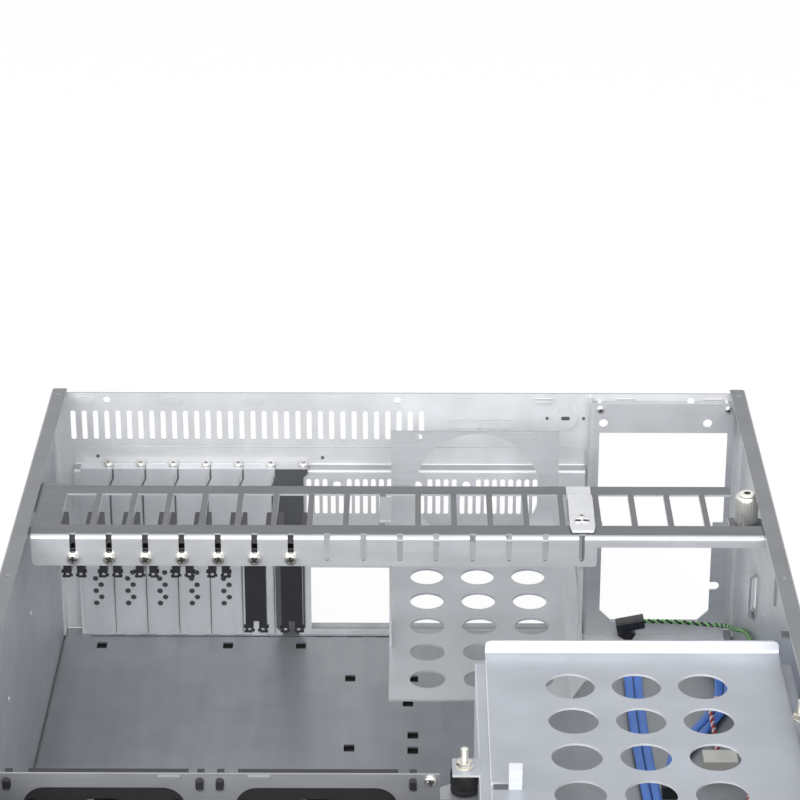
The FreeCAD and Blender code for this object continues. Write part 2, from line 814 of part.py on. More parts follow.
# Slot covers: a strip with a tapered tongue below and an ear folded back over the shelf. The
# first six carry a zigzag of dimples, and the ear is notched for its screw.
cover_front = slot_face - s.thin
for number in range(counted(s.slot_count)):
    centre = s.slot_first + s.slot_pitch * number
    cover = body(f"slot_cover_{number + 1}")
    ear_left = centre + s.ear_shift - s.ear_width / 2
    ear_right = centre + s.ear_shift + s.ear_width / 2
    strip_left = centre - s.cover_width / 2
    strip_right = centre + s.cover_width / 2
    slope = (s.cover_width - s.tongue_width) / 2
    strip = sketch(cover, "y", cover_front)
    polygon(strip, [
        (strip_left, floor_top + s.thin + slope),
        (strip_left + slope, floor_top + s.thin),
        (strip_left + slope, floor_top),
        (strip_right - slope, floor_top),
        (strip_right - slope, floor_top + s.thin),
        (strip_right, floor_top + s.thin + slope),
        (strip_right, s.cover_shoulder),
        (ear_right, s.cover_shoulder + (ear_right - strip_right)),
        (ear_right, s.shelf_level + s.thin),
        (ear_left, s.shelf_level + s.thin),
        (ear_left, s.cover_shoulder),
        (strip_left, s.cover_shoulder),
    ])
    pad(cover, strip, s.thin)
    ear = sketch(cover, "z", s.shelf_level)
    rectangle(ear, ear_left, ear_right, slot_face - s.thin / 2,
              forward(s.steel + s.thin + s.bend + 0.2))
    pad(cover, ear, s.thin)
    notch = sketch(cover, "z", s.shelf_level + s.thin / 2)
    slot_outline(notch, centre + s.ear_screw_shift + s.ear_notch_width / 2,
                 forward(s.ear_screw_depth), s.ear_notch_length, s.ear_notch_width)
    pocket(cover, notch, s.thin * 2)
    if number < counted(s.slot_count) - 1:
        dimples = sketch(cover, "y", cover_front)
        for step in range(6):
            side = -1 if step % 2 == 0 else 1
            eight_sided(dimples, centre + s.dimple_stagger * side,
                        s.dimple_first + s.dimple_step * step, s.dimple_radius)
        pocket(cover, dimples, s.dimple_depth * 2)


def along(place, axis, run):
    """A place moved by a run along an axis."""
    return [a + run if letter == axis else a for a, letter in zip(place, "xyz")]


def pan_screw(x, y, z, axis, way, shank, length, head, height):
    """A screw whose head looks along way * axis, seated at x, y, z: shank, rim and top."""
    place = [x, y, z]
    rim, top = height * 0.6, height * 0.4
    if way > 0:
        return join(rod(*along(place, axis, -length), axis, shank, length),
                    rod(*place, axis, head, rim),
                    taper(*along(place, axis, rim), axis, head, head * 0.7, top))
    return join(rod(*place, axis, shank, length),
                rod(*along(place, axis, -rim), axis, head, rim),
                taper(*along(place, axis, -height), axis, head * 0.7, head, top))


keep("slot_cover_screws", group(*[
    pan_screw(s.slot_first + s.ear_screw_shift + s.slot_pitch * n, forward(s.ear_screw_depth),
              s.shelf_level + s.thin, "z", 1, s.screw_shank, s.screw_length, s.screw_head,
              s.screw_height)
    for n in range(counted(s.slot_count))]))

# Power supply plate: set in from the rear panel on a side return, with a foot folded forward
# on the floor.
supply_face = forward(s.supply_recess)
psu_plate = body("psu_plate")
section = sketch(psu_plate, "z", floor_top)
outline(section, [
    (s.supply_left, forward(s.steel)),
    (s.supply_left, supply_face, s.bend + s.steel),
    (s.supply_right, supply_face),
    (s.supply_right, supply_face + s.steel),
    (s.supply_left + s.steel, supply_face + s.steel, s.bend),
    (s.supply_left + s.steel, forward(s.steel)),
])
pad(psu_plate, section, s.supply_top - floor_top)
foot = sketch(psu_plate, "z", floor_top)
rectangle(foot, s.supply_left, s.supply_right, supply_face - s.supply_foot,
          supply_face + s.steel / 2)
pad(psu_plate, foot, s.steel)
window = sketch(psu_plate, "y", supply_face + s.steel / 2)
low = s.supply_window_low
polygon(window, [
    (s.supply_low_left, low + s.supply_chamfer),
    (s.supply_low_left + s.supply_chamfer, low),
    (s.supply_low_right - s.supply_chamfer, low),
    (s.supply_low_right, low + s.supply_chamfer),
    (s.supply_low_right, s.supply_window_step),
    (s.supply_window_right, s.supply_window_step),
    (s.supply_window_right, s.supply_window_top),
    (s.supply_window_left, s.supply_window_top),
    (s.supply_window_left, s.supply_window_step),
    (s.supply_low_left, s.supply_window_step),
])
pocket(psu_plate, window, s.steel * 2)
details = sketch(psu_plate, "y", supply_face + s.steel / 2)
slot_outline(details, s.supply_low_right + s.tie_slot_width / 4, s.tie_slot_level,
             s.tie_slot_length, s.tie_slot_width)
for x in (127, 191.3):
    circle(details, x, s.plate_hole_level, s.plate_hole)
for x in (s.supply_left + s.supply_screw_inset, s.supply_window_right):
    circle(details, x, s.supply_screw_level, s.screw_shank)
pocket(psu_plate, details, s.steel * 2)
foot_holes = sketch(psu_plate, "z", floor_top + s.steel / 2)
for x in (129, 180, 198.5):
    circle(foot_holes, x, forward(s.supply_recess + s.foot_hole_inset), s.foot_hole)
pocket(psu_plate, foot_holes, s.steel * 2)
keep("psu_plate_screws", group(*[
    pan_screw(x, supply_face, s.supply_screw_level, "y", -1, s.screw_shank,
              s.supply_recess - s.steel, s.plate_screw_head, s.plate_screw_height)
    for x in (s.supply_left + s.supply_screw_inset, s.supply_window_right)]))

# Hold-down bar: an angle across the case. Its top is pierced by a row of windows, its front
# flange by open slots for the clip screws, and the flange is cut short over the supply bay.
bar_face = forward(s.bar_front)
hold_down_bar = body("hold_down_bar")
section = sketch(hold_down_bar, "x", s.bar_left)
outline(section, [
    (forward(s.bar_rear), bar_under),
    (forward(s.bar_rear), bar_top),
    (bar_face, bar_top, s.bend + s.steel),
    (bar_face, bar_top - s.bar_flange),
    (bar_face + s.steel, bar_top - s.bar_flange),
    (bar_face + s.steel, bar_under, s.bend),
])
pad(hold_down_bar, section, s.bar_right - s.bar_left)
relief = sketch(hold_down_bar, "y", bar_face + s.steel / 2)
outline(relief, [
    (s.bar_short_start, bar_top - s.bar_flange - 1),
    (s.bar_right + 1, bar_top - s.bar_flange - 1),
    (s.bar_right + 1, bar_top - s.bar_short_flange),
    (s.bar_short_start, bar_top - s.bar_short_flange, s.bend * 2),
])
pocket(hold_down_bar, relief, s.steel * 3)
window = sketch(hold_down_bar, "z", bar_top - s.steel / 2)
rectangle(window, s.window_first - s.window_width / 2, s.window_first + s.window_width / 2,
          forward(s.window_front), forward(s.window_rear))
repeat(hold_down_bar, pocket(hold_down_bar, window, s.steel * 2), "x", s.slot_pitch,
       s.window_count)
clip_slot_low = bar_top - s.clip_slot_drop
clip_slot = sketch(hold_down_bar, "y", bar_face + s.steel / 2)
slot_outline(clip_slot, s.window_first, (clip_slot_low + bar_top + s.clip_slot) / 2,
             s.clip_slot, bar_top + s.clip_slot - clip_slot_low)
repeat(hold_down_bar, pocket(hold_down_bar, clip_slot, s.steel * 2 + 1), "x", s.slot_pitch,
       s.clip_slot_count)
# The right end is cut out round the thumbscrew, where the bar drops to a tab on the ledge.
pocket_front = s.knob_d + s.knob_radius + s.knob_margin
pocket_left = s.knob_x - s.knob_radius - s.knob_margin * 2
knob_room = sketch(hold_down_bar, "z", bar_top - s.steel / 2)
rectangle(knob_room, pocket_left, s.bar_right + 1, forward(pocket_front),
          forward(s.bar_rear - 1))
pocket(hold_down_bar, knob_room, s.steel * 2)
tab = sketch(hold_down_bar, "x", pocket_left)
polygon(tab, [
    (forward(pocket_front + s.steel), bar_top - s.steel / 2),
    (forward(pocket_front), bar_top - s.steel / 2),
    (forward(pocket_front), ledge_level + s.steel),
    (forward(s.bar_rear), ledge_level + s.steel),
    (forward(s.bar_rear), ledge_level),
    (forward(pocket_front + s.steel), ledge_level),
])
pad(hold_down_bar, tab, s.bar_right - pocket_left)
tab_hole = sketch(hold_down_bar, "z", ledge_level + s.steel / 2)
circle(tab_hole, s.knob_x, forward(s.knob_d), s.knob_shank + s.button_gap)
pocket(hold_down_bar, tab_hole, s.steel * 2)

# Bar brackets: angles fixed to the walls. The left one is a hook that the bar's end lies in;
# the right one is a ledge that takes the thumbscrew.
bracket_rear = forward(s.bar_rear - s.bracket_end)
hook_end = s.bracket_reach - inner_wall
keep("bar_bracket_left", join(
    block(-inner_wall, s.steel - inner_wall, bar_face + 2, bracket_rear,
          bar_under - s.bracket_height, bar_under),
    block(-inner_wall, hook_end, forward(s.window_rear + s.hook_tooth), bracket_rear,
          bar_under - s.steel, bar_under),
    block(-inner_wall, hook_end, bar_face + s.steel + 1, forward(s.window_front + 1),
          bar_under - s.steel, bar_under),
))
keep("bar_bracket_right", cut(
    join(block(inner_wall - s.steel, inner_wall, bar_face + 2, bracket_rear,
               ledge_level - s.bracket_height, ledge_level + s.bracket_height / 2),
         block(pocket_left, inner_wall, forward(pocket_front + 2),
               forward(s.bar_rear - 2), ledge_level - s.steel, ledge_level)),
    rod(s.knob_x, forward(s.knob_d), ledge_level - s.steel * 2, "z",
        s.knob_shank + s.knob_lift, s.steel * 3)))
knob_low = ledge_level + s.steel + s.knob_lift
knob_body = s.knob_height - s.knob_collar * 2
keep("bar_thumbscrew", join(
    taper(s.knob_x, forward(s.knob_d), knob_low, "z", s.knob_top_radius, s.knob_radius,
          s.knob_collar),
    rod(s.knob_x, forward(s.knob_d), knob_low + s.knob_collar, "z", s.knob_radius, knob_body),
    taper(s.knob_x, forward(s.knob_d), knob_low + s.knob_collar + knob_body, "z",
          s.knob_radius, s.knob_top_radius, s.knob_collar),
    rod(s.knob_x, forward(s.knob_d), knob_low - s.knob_reach, "z", s.knob_shank,
        s.knob_reach + s.knob_collar)))

# Card clips: one black moulding each. A channel lies behind the bar's flange, two prongs stand
# in the corners of the bar's window, and the foot below is forked to straddle a card's edge.
# The last two are the long ones. Each slides with its own screw and nut, up the open slot.
plate_face = bar_face + s.steel + s.clip_gap
plate_back = plate_face + s.clip_wall
channel_back = plate_face + s.foot_depth
clip_top = bar_under - s.clip_travel - s.prong_margin
clip_screw_level = bar_top - s.clip_screw_drop
prong_half = s.window_width / 2 - s.prong_margin
prong_face = forward(s.window_front) + s.prong_margin
for number in range(counted(s.clip_count)):
    centre = s.window_first + s.slot_pitch * number
    is_long = number >= counted(s.clip_count) - 2
    low = bar_top - (s.long_clip_drop if is_long else s.short_clip_drop)
    half = s.clip_width / 2
    clip = body(f"card_clip_{number + 1}")
    channel = sketch(clip, "z", low)
    polygon(channel, [
        (centre - half, plate_face),
        (centre + half, plate_face),
        (centre + half, channel_back),
        (centre + half - s.clip_rib, channel_back),
        (centre + half - s.clip_rib, plate_back),
        (centre - half + s.clip_rib, plate_back),
        (centre - half + s.clip_rib, channel_back),
        (centre - half, channel_back),
    ])
    pad(clip, channel, clip_top - low)
    foot = sketch(clip, "z", low + s.toe_height)
    rectangle(foot, centre - half, centre + half, plate_face, channel_back)
    pad(clip, foot, s.foot_height - s.toe_height)
    shoulder = sketch(clip, "z", clip_top - s.foot_height)
    rectangle(shoulder, centre - prong_half, centre + prong_half, plate_face,
              prong_face + s.prong_length)
    pad(clip, shoulder, s.foot_height / 2)
    prongs = sketch(clip, "z", clip_top - s.foot_height)
    for inner, outer in ((prong_half - s.prong_width, prong_half),
                         (-prong_half, s.prong_width - prong_half)):
        rectangle(prongs, centre + inner, centre + outer, prong_face,
                  prong_face + s.prong_length)
    pad(clip, prongs, bar_top - s.prong_drop - clip_top + s.foot_height)
    fork = sketch(clip, "y", plate_face + s.foot_depth / 2)
    polygon(fork, [
        (centre - s.foot_gap / 2 - s.toe_inset, low - 1),
        (centre + s.foot_gap / 2 + s.toe_inset, low - 1),
        (centre + s.foot_gap / 2, low + s.toe_height),
        (centre + s.foot_gap / 2, low + s.foot_height - s.toe_height),
        (centre - s.foot_gap / 2, low + s.foot_height - s.toe_height),
        (centre - s.foot_gap / 2, low + s.toe_height),
    ])
    pocket(clip, fork, s.foot_depth * 2)
    hole = sketch(clip, "y", plate_face)
    circle(hole, centre, clip_screw_level, s.screw_shank + s.clip_gap / 2)
    pocket(clip, hole, s.clip_wall * 3)
    nut_room = sketch(clip, "y", plate_back + s.foot_depth)
    rectangle(nut_room, centre - s.clip_nut / 2 - s.clip_gap, centre + s.clip_nut / 2 + s.clip_gap,
              clip_screw_level - s.clip_nut / 2 - s.clip_gap, clip_top + 1)
    pocket(clip, nut_room, s.foot_depth * 2)
    nut_low = plate_back + s.clip_gap / 2
    nut_half = s.clip_nut / 2
    nut = cut(block(centre - nut_half, centre + nut_half, nut_low, nut_low + s.clip_nut_height,
                    clip_screw_level - nut_half, clip_screw_level + nut_half),
              rod(centre, nut_low - 1, clip_screw_level, "y", s.screw_shank,
                  s.clip_nut_height + 2))
    screw = pan_screw(centre, bar_face - s.clip_gap / 2, clip_screw_level, "y", -1,
                      s.screw_shank, nut_low + s.clip_nut_height - bar_face + s.clip_gap,
                      s.clip_screw_head, s.clip_screw_height)
    keep(f"clip_screw_{number + 1}", join(screw, nut))

# Hung tray: fan plate, pierced shelf and a stepped right edge in one sheet, with a hanger on
# each side that rises through a window of the bar.
fan_tray = body("fan_tray")
section = sketch(fan_tray, "x", s.tray_left)
outline(section, [
    (forward(s.tray_rear), (bar_top - s.tray_top_drop)),
    (forward(s.tray_rear), tray_level - s.steel, s.bend + s.steel),
    (forward(s.tray_front), tray_level - s.steel),
    (forward(s.tray_front), tray_level),
    (forward(s.tray_rear + s.steel), tray_level, s.bend),
    (forward(s.tray_rear + s.steel), (bar_top - s.tray_top_drop)),
])
pad(fan_tray, section, s.tray_right - s.tray_left)
flare_top = tray_level + s.tray_flare
flange = sketch(fan_tray, "y", forward(s.tray_front))
polygon(flange, [
    (s.tray_right - s.steel * 1.2, tray_level - s.steel),
    (s.tray_right, tray_level - s.steel),
    (s.tray_edge, flare_top),
    (s.tray_edge - s.steel * 1.2, flare_top),
])
pad(fan_tray, flange, s.tray_front - s.tray_rear - s.tray_flare)
hanger_left = sketch(fan_tray, "y", forward(s.hanger_front))
polygon(hanger_left, [
    (s.tray_left, tray_level - s.steel),
    (s.tray_left, bar_top),
    (s.tray_left - s.hook_left, bar_top),
    (s.tray_left - s.hook_left, bar_top + s.steel),
    (s.tray_left + s.steel, bar_top + s.steel),
    (s.tray_left + s.steel, tray_level - s.steel),
])
pad(fan_tray, hanger_left, s.hanger_front - s.hanger_rear)
hanger_right = sketch(fan_tray, "y", forward(s.hanger_front))
polygon(hanger_right, [
    (s.tray_edge, flare_top - s.steel),
    (s.tray_edge, bar_top),
    (s.tray_edge - s.hook_right, bar_top),
    (s.tray_edge - s.hook_right, bar_under),
    (s.tray_edge - s.steel, bar_under),
    (s.tray_edge - s.steel, flare_top - s.steel),
])
pad(fan_tray, hanger_right, s.hanger_front - s.hanger_rear)
fan_centre = (s.tray_left + s.tray_right) / 2 + 1.5
fan_holes = sketch(fan_tray, "y", forward(s.tray_rear + s.steel / 2))
circle(fan_holes, fan_centre, (tray_level + s.tray_fan_rise), s.tray_fan_radius)
for side in (-1, 1):
    circle(fan_holes, fan_centre + side * s.tray_fan_spacing / 2,
           (tray_level + s.tray_fan_rise) + s.tray_fan_spacing / 2, s.tray_screw_hole)
pocket(fan_tray, fan_holes, s.steel * 2)
row = sketch(fan_tray, "z", tray_level - s.steel / 2)
for column in (-1, 0, 1):
    circle(row, fan_centre - 0.4 + s.tray_hole_pitch * column,
           forward(s.tray_row_first + 4 * s.tray_row_pitch), s.tray_hole_radius)
repeat(fan_tray, pocket(fan_tray, row, s.steel * 2), "y", s.tray_row_pitch, 5)

# Tray clip: a polished spring strap, arched over a window of the bar, that holds the hanger
# down. Its tail lies on the bar's rear strip, its nose bends down to the front strip.
strap_front = s.window_front + s.strap_nose
strap_crown = bar_top + s.strap_rise
tray_clip = body("tray_clip")
arch = sketch(tray_clip, "x", s.strap_left)
polygon(arch, [
    (forward(s.bar_rear + 2), bar_top),
    (forward(s.window_rear - 1), bar_top),
    (forward(s.window_rear + 6), strap_crown - s.thin),
    (forward(s.strap_screw_d - 8), strap_crown - s.thin),
    (forward(s.strap_screw_d - 2), bar_top + s.steel),
    (forward(strap_front - s.thin), bar_top + s.steel),
    (forward(strap_front - s.thin), bar_top),
    (forward(strap_front), bar_top),
    (forward(strap_front), bar_top + s.thin),
    (forward(strap_front - s.thin), bar_top + s.steel + s.thin),
    (forward(s.strap_screw_d - 2), bar_top + s.steel + s.thin),
    (forward(s.strap_screw_d - 8), strap_crown),
    (forward(s.window_rear + 6), strap_crown),
    (forward(s.window_rear - 2), bar_top + s.thin),
    (forward(s.bar_rear + 2), bar_top + s.thin),
])
pad(tray_clip, arch, s.strap_width)
strap_mid = s.strap_left + s.strap_width / 2
strap_hole = sketch(tray_clip, "z", bar_top + s.steel + s.thin / 2)
circle(strap_hole, strap_mid, forward(s.strap_screw_d + 2), s.screw_shank)
pocket(tray_clip, strap_hole, s.thin * 2)
keep("tray_clip_screw", pan_screw(
    strap_mid, forward(s.strap_screw_d + 2), bar_top + s.steel + s.thin, "z", 1,
    s.screw_shank, s.thin + s.steel, s.plate_screw_head, s.plate_screw_height / 2))

# Drive cage: an inverted channel over three drive bays. The top is pierced by large holes,
# its rear edge folds up, and its sides step out and end in feet on the floor.
wall_left = s.cage_left - s.cage_step
wall_right = s.cage_right + s.cage_step
cage_under = s.cage_top - s.steel
drive_cage = body("drive_cage")
section = sketch(drive_cage, "y", forward(cage_front))
outline(section, [
    (wall_left - s.cage_foot, floor_top),
    (wall_left + s.steel, floor_top, s.bend + s.steel),
    (wall_left + s.steel, cage_under - s.steel * 2),
    (s.cage_left + s.steel, cage_under - s.steel * 2),
    (s.cage_left + s.steel, cage_under),
    (s.cage_right - s.steel, cage_under),
    (s.cage_right - s.steel, cage_under - s.steel * 2),
    (wall_right - s.steel, cage_under - s.steel * 2),
    (wall_right - s.steel, floor_top, s.bend + s.steel),
    (wall_right + s.cage_foot * 0.4, floor_top),
    (wall_right + s.cage_foot * 0.4, floor_top + s.steel),
    (wall_right, floor_top + s.steel, s.bend),
    (wall_right, cage_under - s.steel, s.bend),
    (s.cage_right, cage_under - s.steel),
    (s.cage_right, s.cage_top, s.bend),
    (s.cage_left, s.cage_top, s.bend),
    (s.cage_left, cage_under - s.steel),
    (wall_left, cage_under - s.steel, s.bend),
    (wall_left, floor_top + s.steel, s.bend),
    (wall_left - s.cage_foot, floor_top + s.steel),
])
pad(drive_cage, section, cage_front - s.cage_side_rear)
lip = sketch(drive_cage, "x", s.cage_left)
outline(lip, [
    (forward(s.cage_side_rear + 1), cage_under),
    (forward(s.cage_rear), cage_under, s.bend * 2 + s.steel),
    (forward(s.cage_rear), s.cage_top + s.cage_lip),
    (forward(s.cage_rear + s.steel), s.cage_top + s.cage_lip),
    (forward(s.cage_rear + s.steel), s.cage_top, s.bend * 2),
    (forward(s.cage_side_rear + 1), s.cage_top),
])
pad(drive_cage, lip, s.cage_right - s.cage_left)
lip_corners = sketch(drive_cage, "y", forward(s.cage_rear + s.steel / 2))
lip_top = s.cage_top + s.cage_lip
for edge, side in ((s.cage_left, 1), (s.cage_right, -1)):
    polygon(lip_corners, [
        (edge - side, lip_top + 1),
        (edge - side, lip_top - s.lip_corner),
        (edge, lip_top - s.lip_corner),
        (edge + side * s.lip_corner * SLOT_END, lip_top - s.lip_corner * SLOT_END),
        (edge + side * s.lip_corner, lip_top),
        (edge + side * s.lip_corner, lip_top + 1),
    ])
pocket(drive_cage, lip_corners, s.steel * 3)
row = sketch(drive_cage, "z", s.cage_top - s.steel / 2)
for column in (-1, 0, 1):
    circle(row, (s.cage_left + s.cage_right) / 2 + s.cage_column_pitch * column,
           forward(s.cage_row_first + 3 * s.cage_row_pitch), s.cage_hole_radius)
repeat(drive_cage, pocket(drive_cage, row, s.steel * 2), "y", s.cage_row_pitch, 4)
# A tab is lanced up from the top, beside the hole that it leaves.
tab_left_edge = s.cage_left + s.cage_tab_inset
tab_gap = sketch(drive_cage, "z", s.cage_top - s.steel / 2)
rectangle(tab_gap, tab_left_edge - s.cage_tab_height, tab_left_edge,
          forward(s.cage_tab_d + s.cage_tab_run), forward(s.cage_tab_d + s.cage_tab_run / 2))
pocket(drive_cage, tab_gap, s.steel * 2)
tab = sketch(drive_cage, "y", forward(s.cage_tab_d + s.cage_tab_run))
rectangle(tab, tab_left_edge, tab_left_edge + s.cage_tab_width, cage_under,
          s.cage_top + s.cage_tab_height)
pad(drive_cage, tab, s.steel)
# Each side has an ear over a damper, and the right side is cut out round the damper below it.
notch = sketch(drive_cage, "x", wall_right - s.steel / 2)
rectangle(notch, forward(s.right_damper_d + s.damper_radius + s.damper_margin),
          forward(s.right_damper_d - s.damper_radius - s.damper_margin),
          damper_low - s.damper_margin, damper_top)
pocket(drive_cage, notch, s.steel * 3)
for x0, x1, d in ((s.damper_x - s.damper_radius + 1, wall_left + s.steel / 2, s.damper_d),
                  (wall_right - s.steel / 2, right_damper_x + s.damper_radius - 1,
                   s.right_damper_d)):
    ear = sketch(drive_cage, "z", damper_top)
    rectangle(ear, x0, x1, forward(d + s.damper_radius + 1),
              forward(d - s.damper_radius - 1))
    pad(drive_cage, ear, s.steel)
DAMPERS = [(s.damper_x, s.damper_d), (right_damper_x, s.right_damper_d)]
stud_holes = sketch(drive_cage, "z", damper_top + s.steel / 2)
for x, d in DAMPERS:
    circle(stud_holes, x, forward(d), s.stud_radius + s.clip_gap)
pocket(drive_cage, stud_holes, s.steel * 4)
cable_way = sketch(drive_cage, "x", wall_left + s.steel / 2)
outline(cable_way, [
    (forward(cage_front - 18), s.cable_way_low, s.bend * 3),
    (forward(cage_front - 18 - s.cable_way_width), s.cable_way_low, s.bend * 3),
    (forward(cage_front - 18 - s.cable_way_width), s.cable_way_high, s.bend * 3),
    (forward(cage_front - 18), s.cable_way_high, s.bend * 3),
])
pocket(drive_cage, cable_way, s.steel * 4)
keep("cage_dampers", group(*[
    cut(rod(x, forward(d), damper_low, "z", s.damper_radius, s.damper_height),
        rod(x, forward(d), damper_low - 1, "z", s.stud_radius, s.damper_height + 2))
    for x, d in DAMPERS]))
studs = []
ear_top = damper_top + s.steel
for x, d in DAMPERS:
    nut = doc.addObject("Part::Prism", "Nut")
    bind(nut, Circumradius=s.nut_width / math.sqrt(3), Height=s.nut_height)
    bind(nut, Placement__Base__x=x, Placement__Base__y=forward(d), Placement__Base__z=ear_top)
    stud = rod(x, forward(d), damper_low, "z", s.stud_radius, s.damper_height + s.stud_reach)
    studs.append(join(stud, nut))
keep("damper_screws", group(*studs))

# Fan bulkhead: an upright sheet with two rounded fan windows, folded forward along the floor.
fan_bulkhead = body("fan_bulkhead")
plate_rear = forward(s.bulkhead_d)
section = sketch(fan_bulkhead, "x", s.wall_clearance - inner_wall)
outline(section, [
    (plate_rear, s.bulkhead_top),
    (plate_rear, floor_top, s.bend + s.steel),
    (plate_rear - s.bulkhead_foot, floor_top),
    (plate_rear - s.bulkhead_foot, floor_top + s.steel),
    (plate_rear - s.steel, floor_top + s.steel, s.bend),
    (plate_rear - s.steel, s.bulkhead_top),
])
pad(fan_bulkhead, section, s.bulkhead_right + inner_wall - s.wall_clearance)
seat = sketch(fan_bulkhead, "z", damper_low - s.steel)
polygon(seat, [
    (s.bulkhead_right - s.damper_radius * 2, plate_rear - s.steel / 2),
    (s.damper_x + s.damper_radius, plate_rear - s.steel / 2),
    (s.damper_x + s.damper_radius, forward(s.damper_d - s.damper_radius)),
    (s.damper_x - s.damper_radius, forward(s.damper_d - s.damper_radius)),
    (s.bulkhead_right - s.damper_radius * 2, plate_rear + s.steel),
])
pad(fan_bulkhead, seat, s.steel)
windows = sketch(fan_bulkhead, "y", plate_rear - s.steel / 2)
for number in range(2):
    centre = s.fan_first + s.fan_pitch * number
    outline(windows, [
        (centre - s.fan_window / 2, s.fan_window_low, s.fan_window_corner),
        (centre + s.fan_window / 2, s.fan_window_low, s.fan_window_corner),
        (centre + s.fan_window / 2, s.fan_window_high, s.fan_window_corner),
        (centre - s.fan_window / 2, s.fan_window_high, s.fan_window_corner),
    ])
    for side in (-1, 1):
        slot_outline(windows, centre + side * (s.fan_size / 2 + s.carrier_wall + 2),
                     s.fan_window_high + 1.8, s.carrier_slot_width, s.carrier_slot_height)
circle(windows, s.bulkhead_right - s.edge_screw_inset, s.bulkhead_top - s.edge_screw_drop,
       s.screw_shank)
pocket(fan_bulkhead, windows, s.steel * 2)
bridges = sketch(fan_bulkhead, "y", plate_rear - s.steel - s.bridge_rise)
for x in (-110.1, -65.9):
    rectangle(bridges, x - s.bridge_width / 2, x + s.bridge_width / 2,
              s.bulkhead_top - s.bridge_height - 1, s.bulkhead_top - 1)
pad(fan_bulkhead, bridges, s.bridge_rise + s.steel / 2)
keep("bulkhead_screw", pan_screw(
    s.bulkhead_right - s.edge_screw_inset, plate_rear - s.steel,
    s.bulkhead_top - s.edge_screw_drop, "y", -1, s.screw_shank, s.steel / 2, s.screw_head,
    s.screw_height))

# Fans: an open square frame with a hub on four arms, a seven-bladed rotor, and a carrier that
# hooks the frame to the bulkhead.
BLADES = 7


def fan_blade(hub, tip, depth):
    """One twisted blade about the Y axis, lofted through flat sections from hub to tip."""
    wires = []
    for share in (0.0, 0.5, 1.0):
        radius = hub + (tip - hub) * share
        pitch = math.radians(50 - 16 * share)
        chord = 14 + 12 * share
        run = chord * math.cos(pitch) / 2
        rise = min(chord * math.sin(pitch), depth) / 2
        sweep = 5 * share
        points = []
        for u, w in ((-1, -0.6), (0, 0.4), (1, -0.6), (1, 0.6), (0, 1.6), (-1, 0.6)):
            points.append(FreeCAD.Vector(sweep + run * u, rise * u + w, radius))
        wires.append(Part.makePolygon(points + points[:1]))
    return Part.makeLoft(wires, True, True)


carriers = []
for number in range(2):
    centre = s.fan_first + s.fan_pitch * number
    half = s.fan_size / 2
    back = plate_rear + s.fan_depth
    shell = cut(
        block(centre - half, centre + half, plate_rear, back, s.fan_level - half,
              s.fan_level + half),
        rod(centre, plate_rear - 1, s.fan_level, "y", s.fan_bore, s.fan_depth + 2),
        *[rod(centre + a * s.fan_screw_spacing / 2, plate_rear - 1,
              s.fan_level + b * s.fan_screw_spacing / 2, "y", s.fan_screw_hole,
              s.fan_depth + 2) for a in (-1, 1) for b in (-1, 1)])
    arm_low = back - s.fan_arm_depth
    arm_half = s.fan_arm_width / 2
    arm_reach = s.fan_bore + 0.5
    keep(f"fan_frame_{number + 1}", join(
        shell,
        rod(centre, arm_low, s.fan_level, "y", s.fan_hub, s.fan_arm_depth),
        block(centre - arm_reach, centre + arm_reach, arm_low, back, s.fan_level - arm_half,
              s.fan_level + arm_half),
        block(centre - arm_half, centre + arm_half, arm_low, back, s.fan_level - arm_reach,
              s.fan_level + arm_reach)))
    rotor = doc.addObject("Part::Feature", "Rotor")
    hub_radius = float(s.fan_hub)
    hub_depth = float(s.fan_depth - s.fan_arm_depth - s.fan_hub_gap * 2)
    turned = Part.makeCylinder(hub_radius, hub_depth, FreeCAD.Vector(), FreeCAD.Vector(0, 1, 0))
    tip = float(s.fan_bore) - float(s.fan_blade_gap)
    blade = fan_blade(hub_radius - 1.2, tip, hub_depth - 4)
    blade.translate(FreeCAD.Vector(0, hub_depth / 2, 0))
    axle = FreeCAD.Vector(0, 1, 0)
    blade = blade.common(Part.makeCylinder(tip, hub_depth, FreeCAD.Vector(), axle))
    for turn in range(BLADES):
        copy = blade.copy()
        copy.rotate(FreeCAD.Vector(), axle, 360 * turn / BLADES)
        turned = turned.fuse(copy)
    rotor.Shape = turned
    bind(rotor, Placement__Base__x=centre, Placement__Base__y=plate_rear + s.fan_hub_gap,
         Placement__Base__z=s.fan_level)
    keep(f"fan_rotor_{number + 1}", rotor)
    outer = half + s.carrier_wall
    hooks = [block(centre + side * (outer + 2) - s.carrier_hook / 2,
                   centre + side * (outer + 2) + s.carrier_hook / 2,
                   plate_rear - s.steel - 1.5, plate_rear + s.carrier_depth,
                   s.fan_window_high - 0.4, s.fan_window_high + 4) for side in (-1, 1)]
    carriers.append(join(cut(
        block(centre - outer, centre + outer, plate_rear, plate_rear + s.carrier_depth,
              s.fan_level - outer, s.fan_level + outer + 1),
        block(centre - half, centre + half, plate_rear - 1, plate_rear + s.carrier_depth + 1,
              s.fan_level - half, s.fan_level + half)), *hooks))
keep("fan_carriers", group(*carriers))

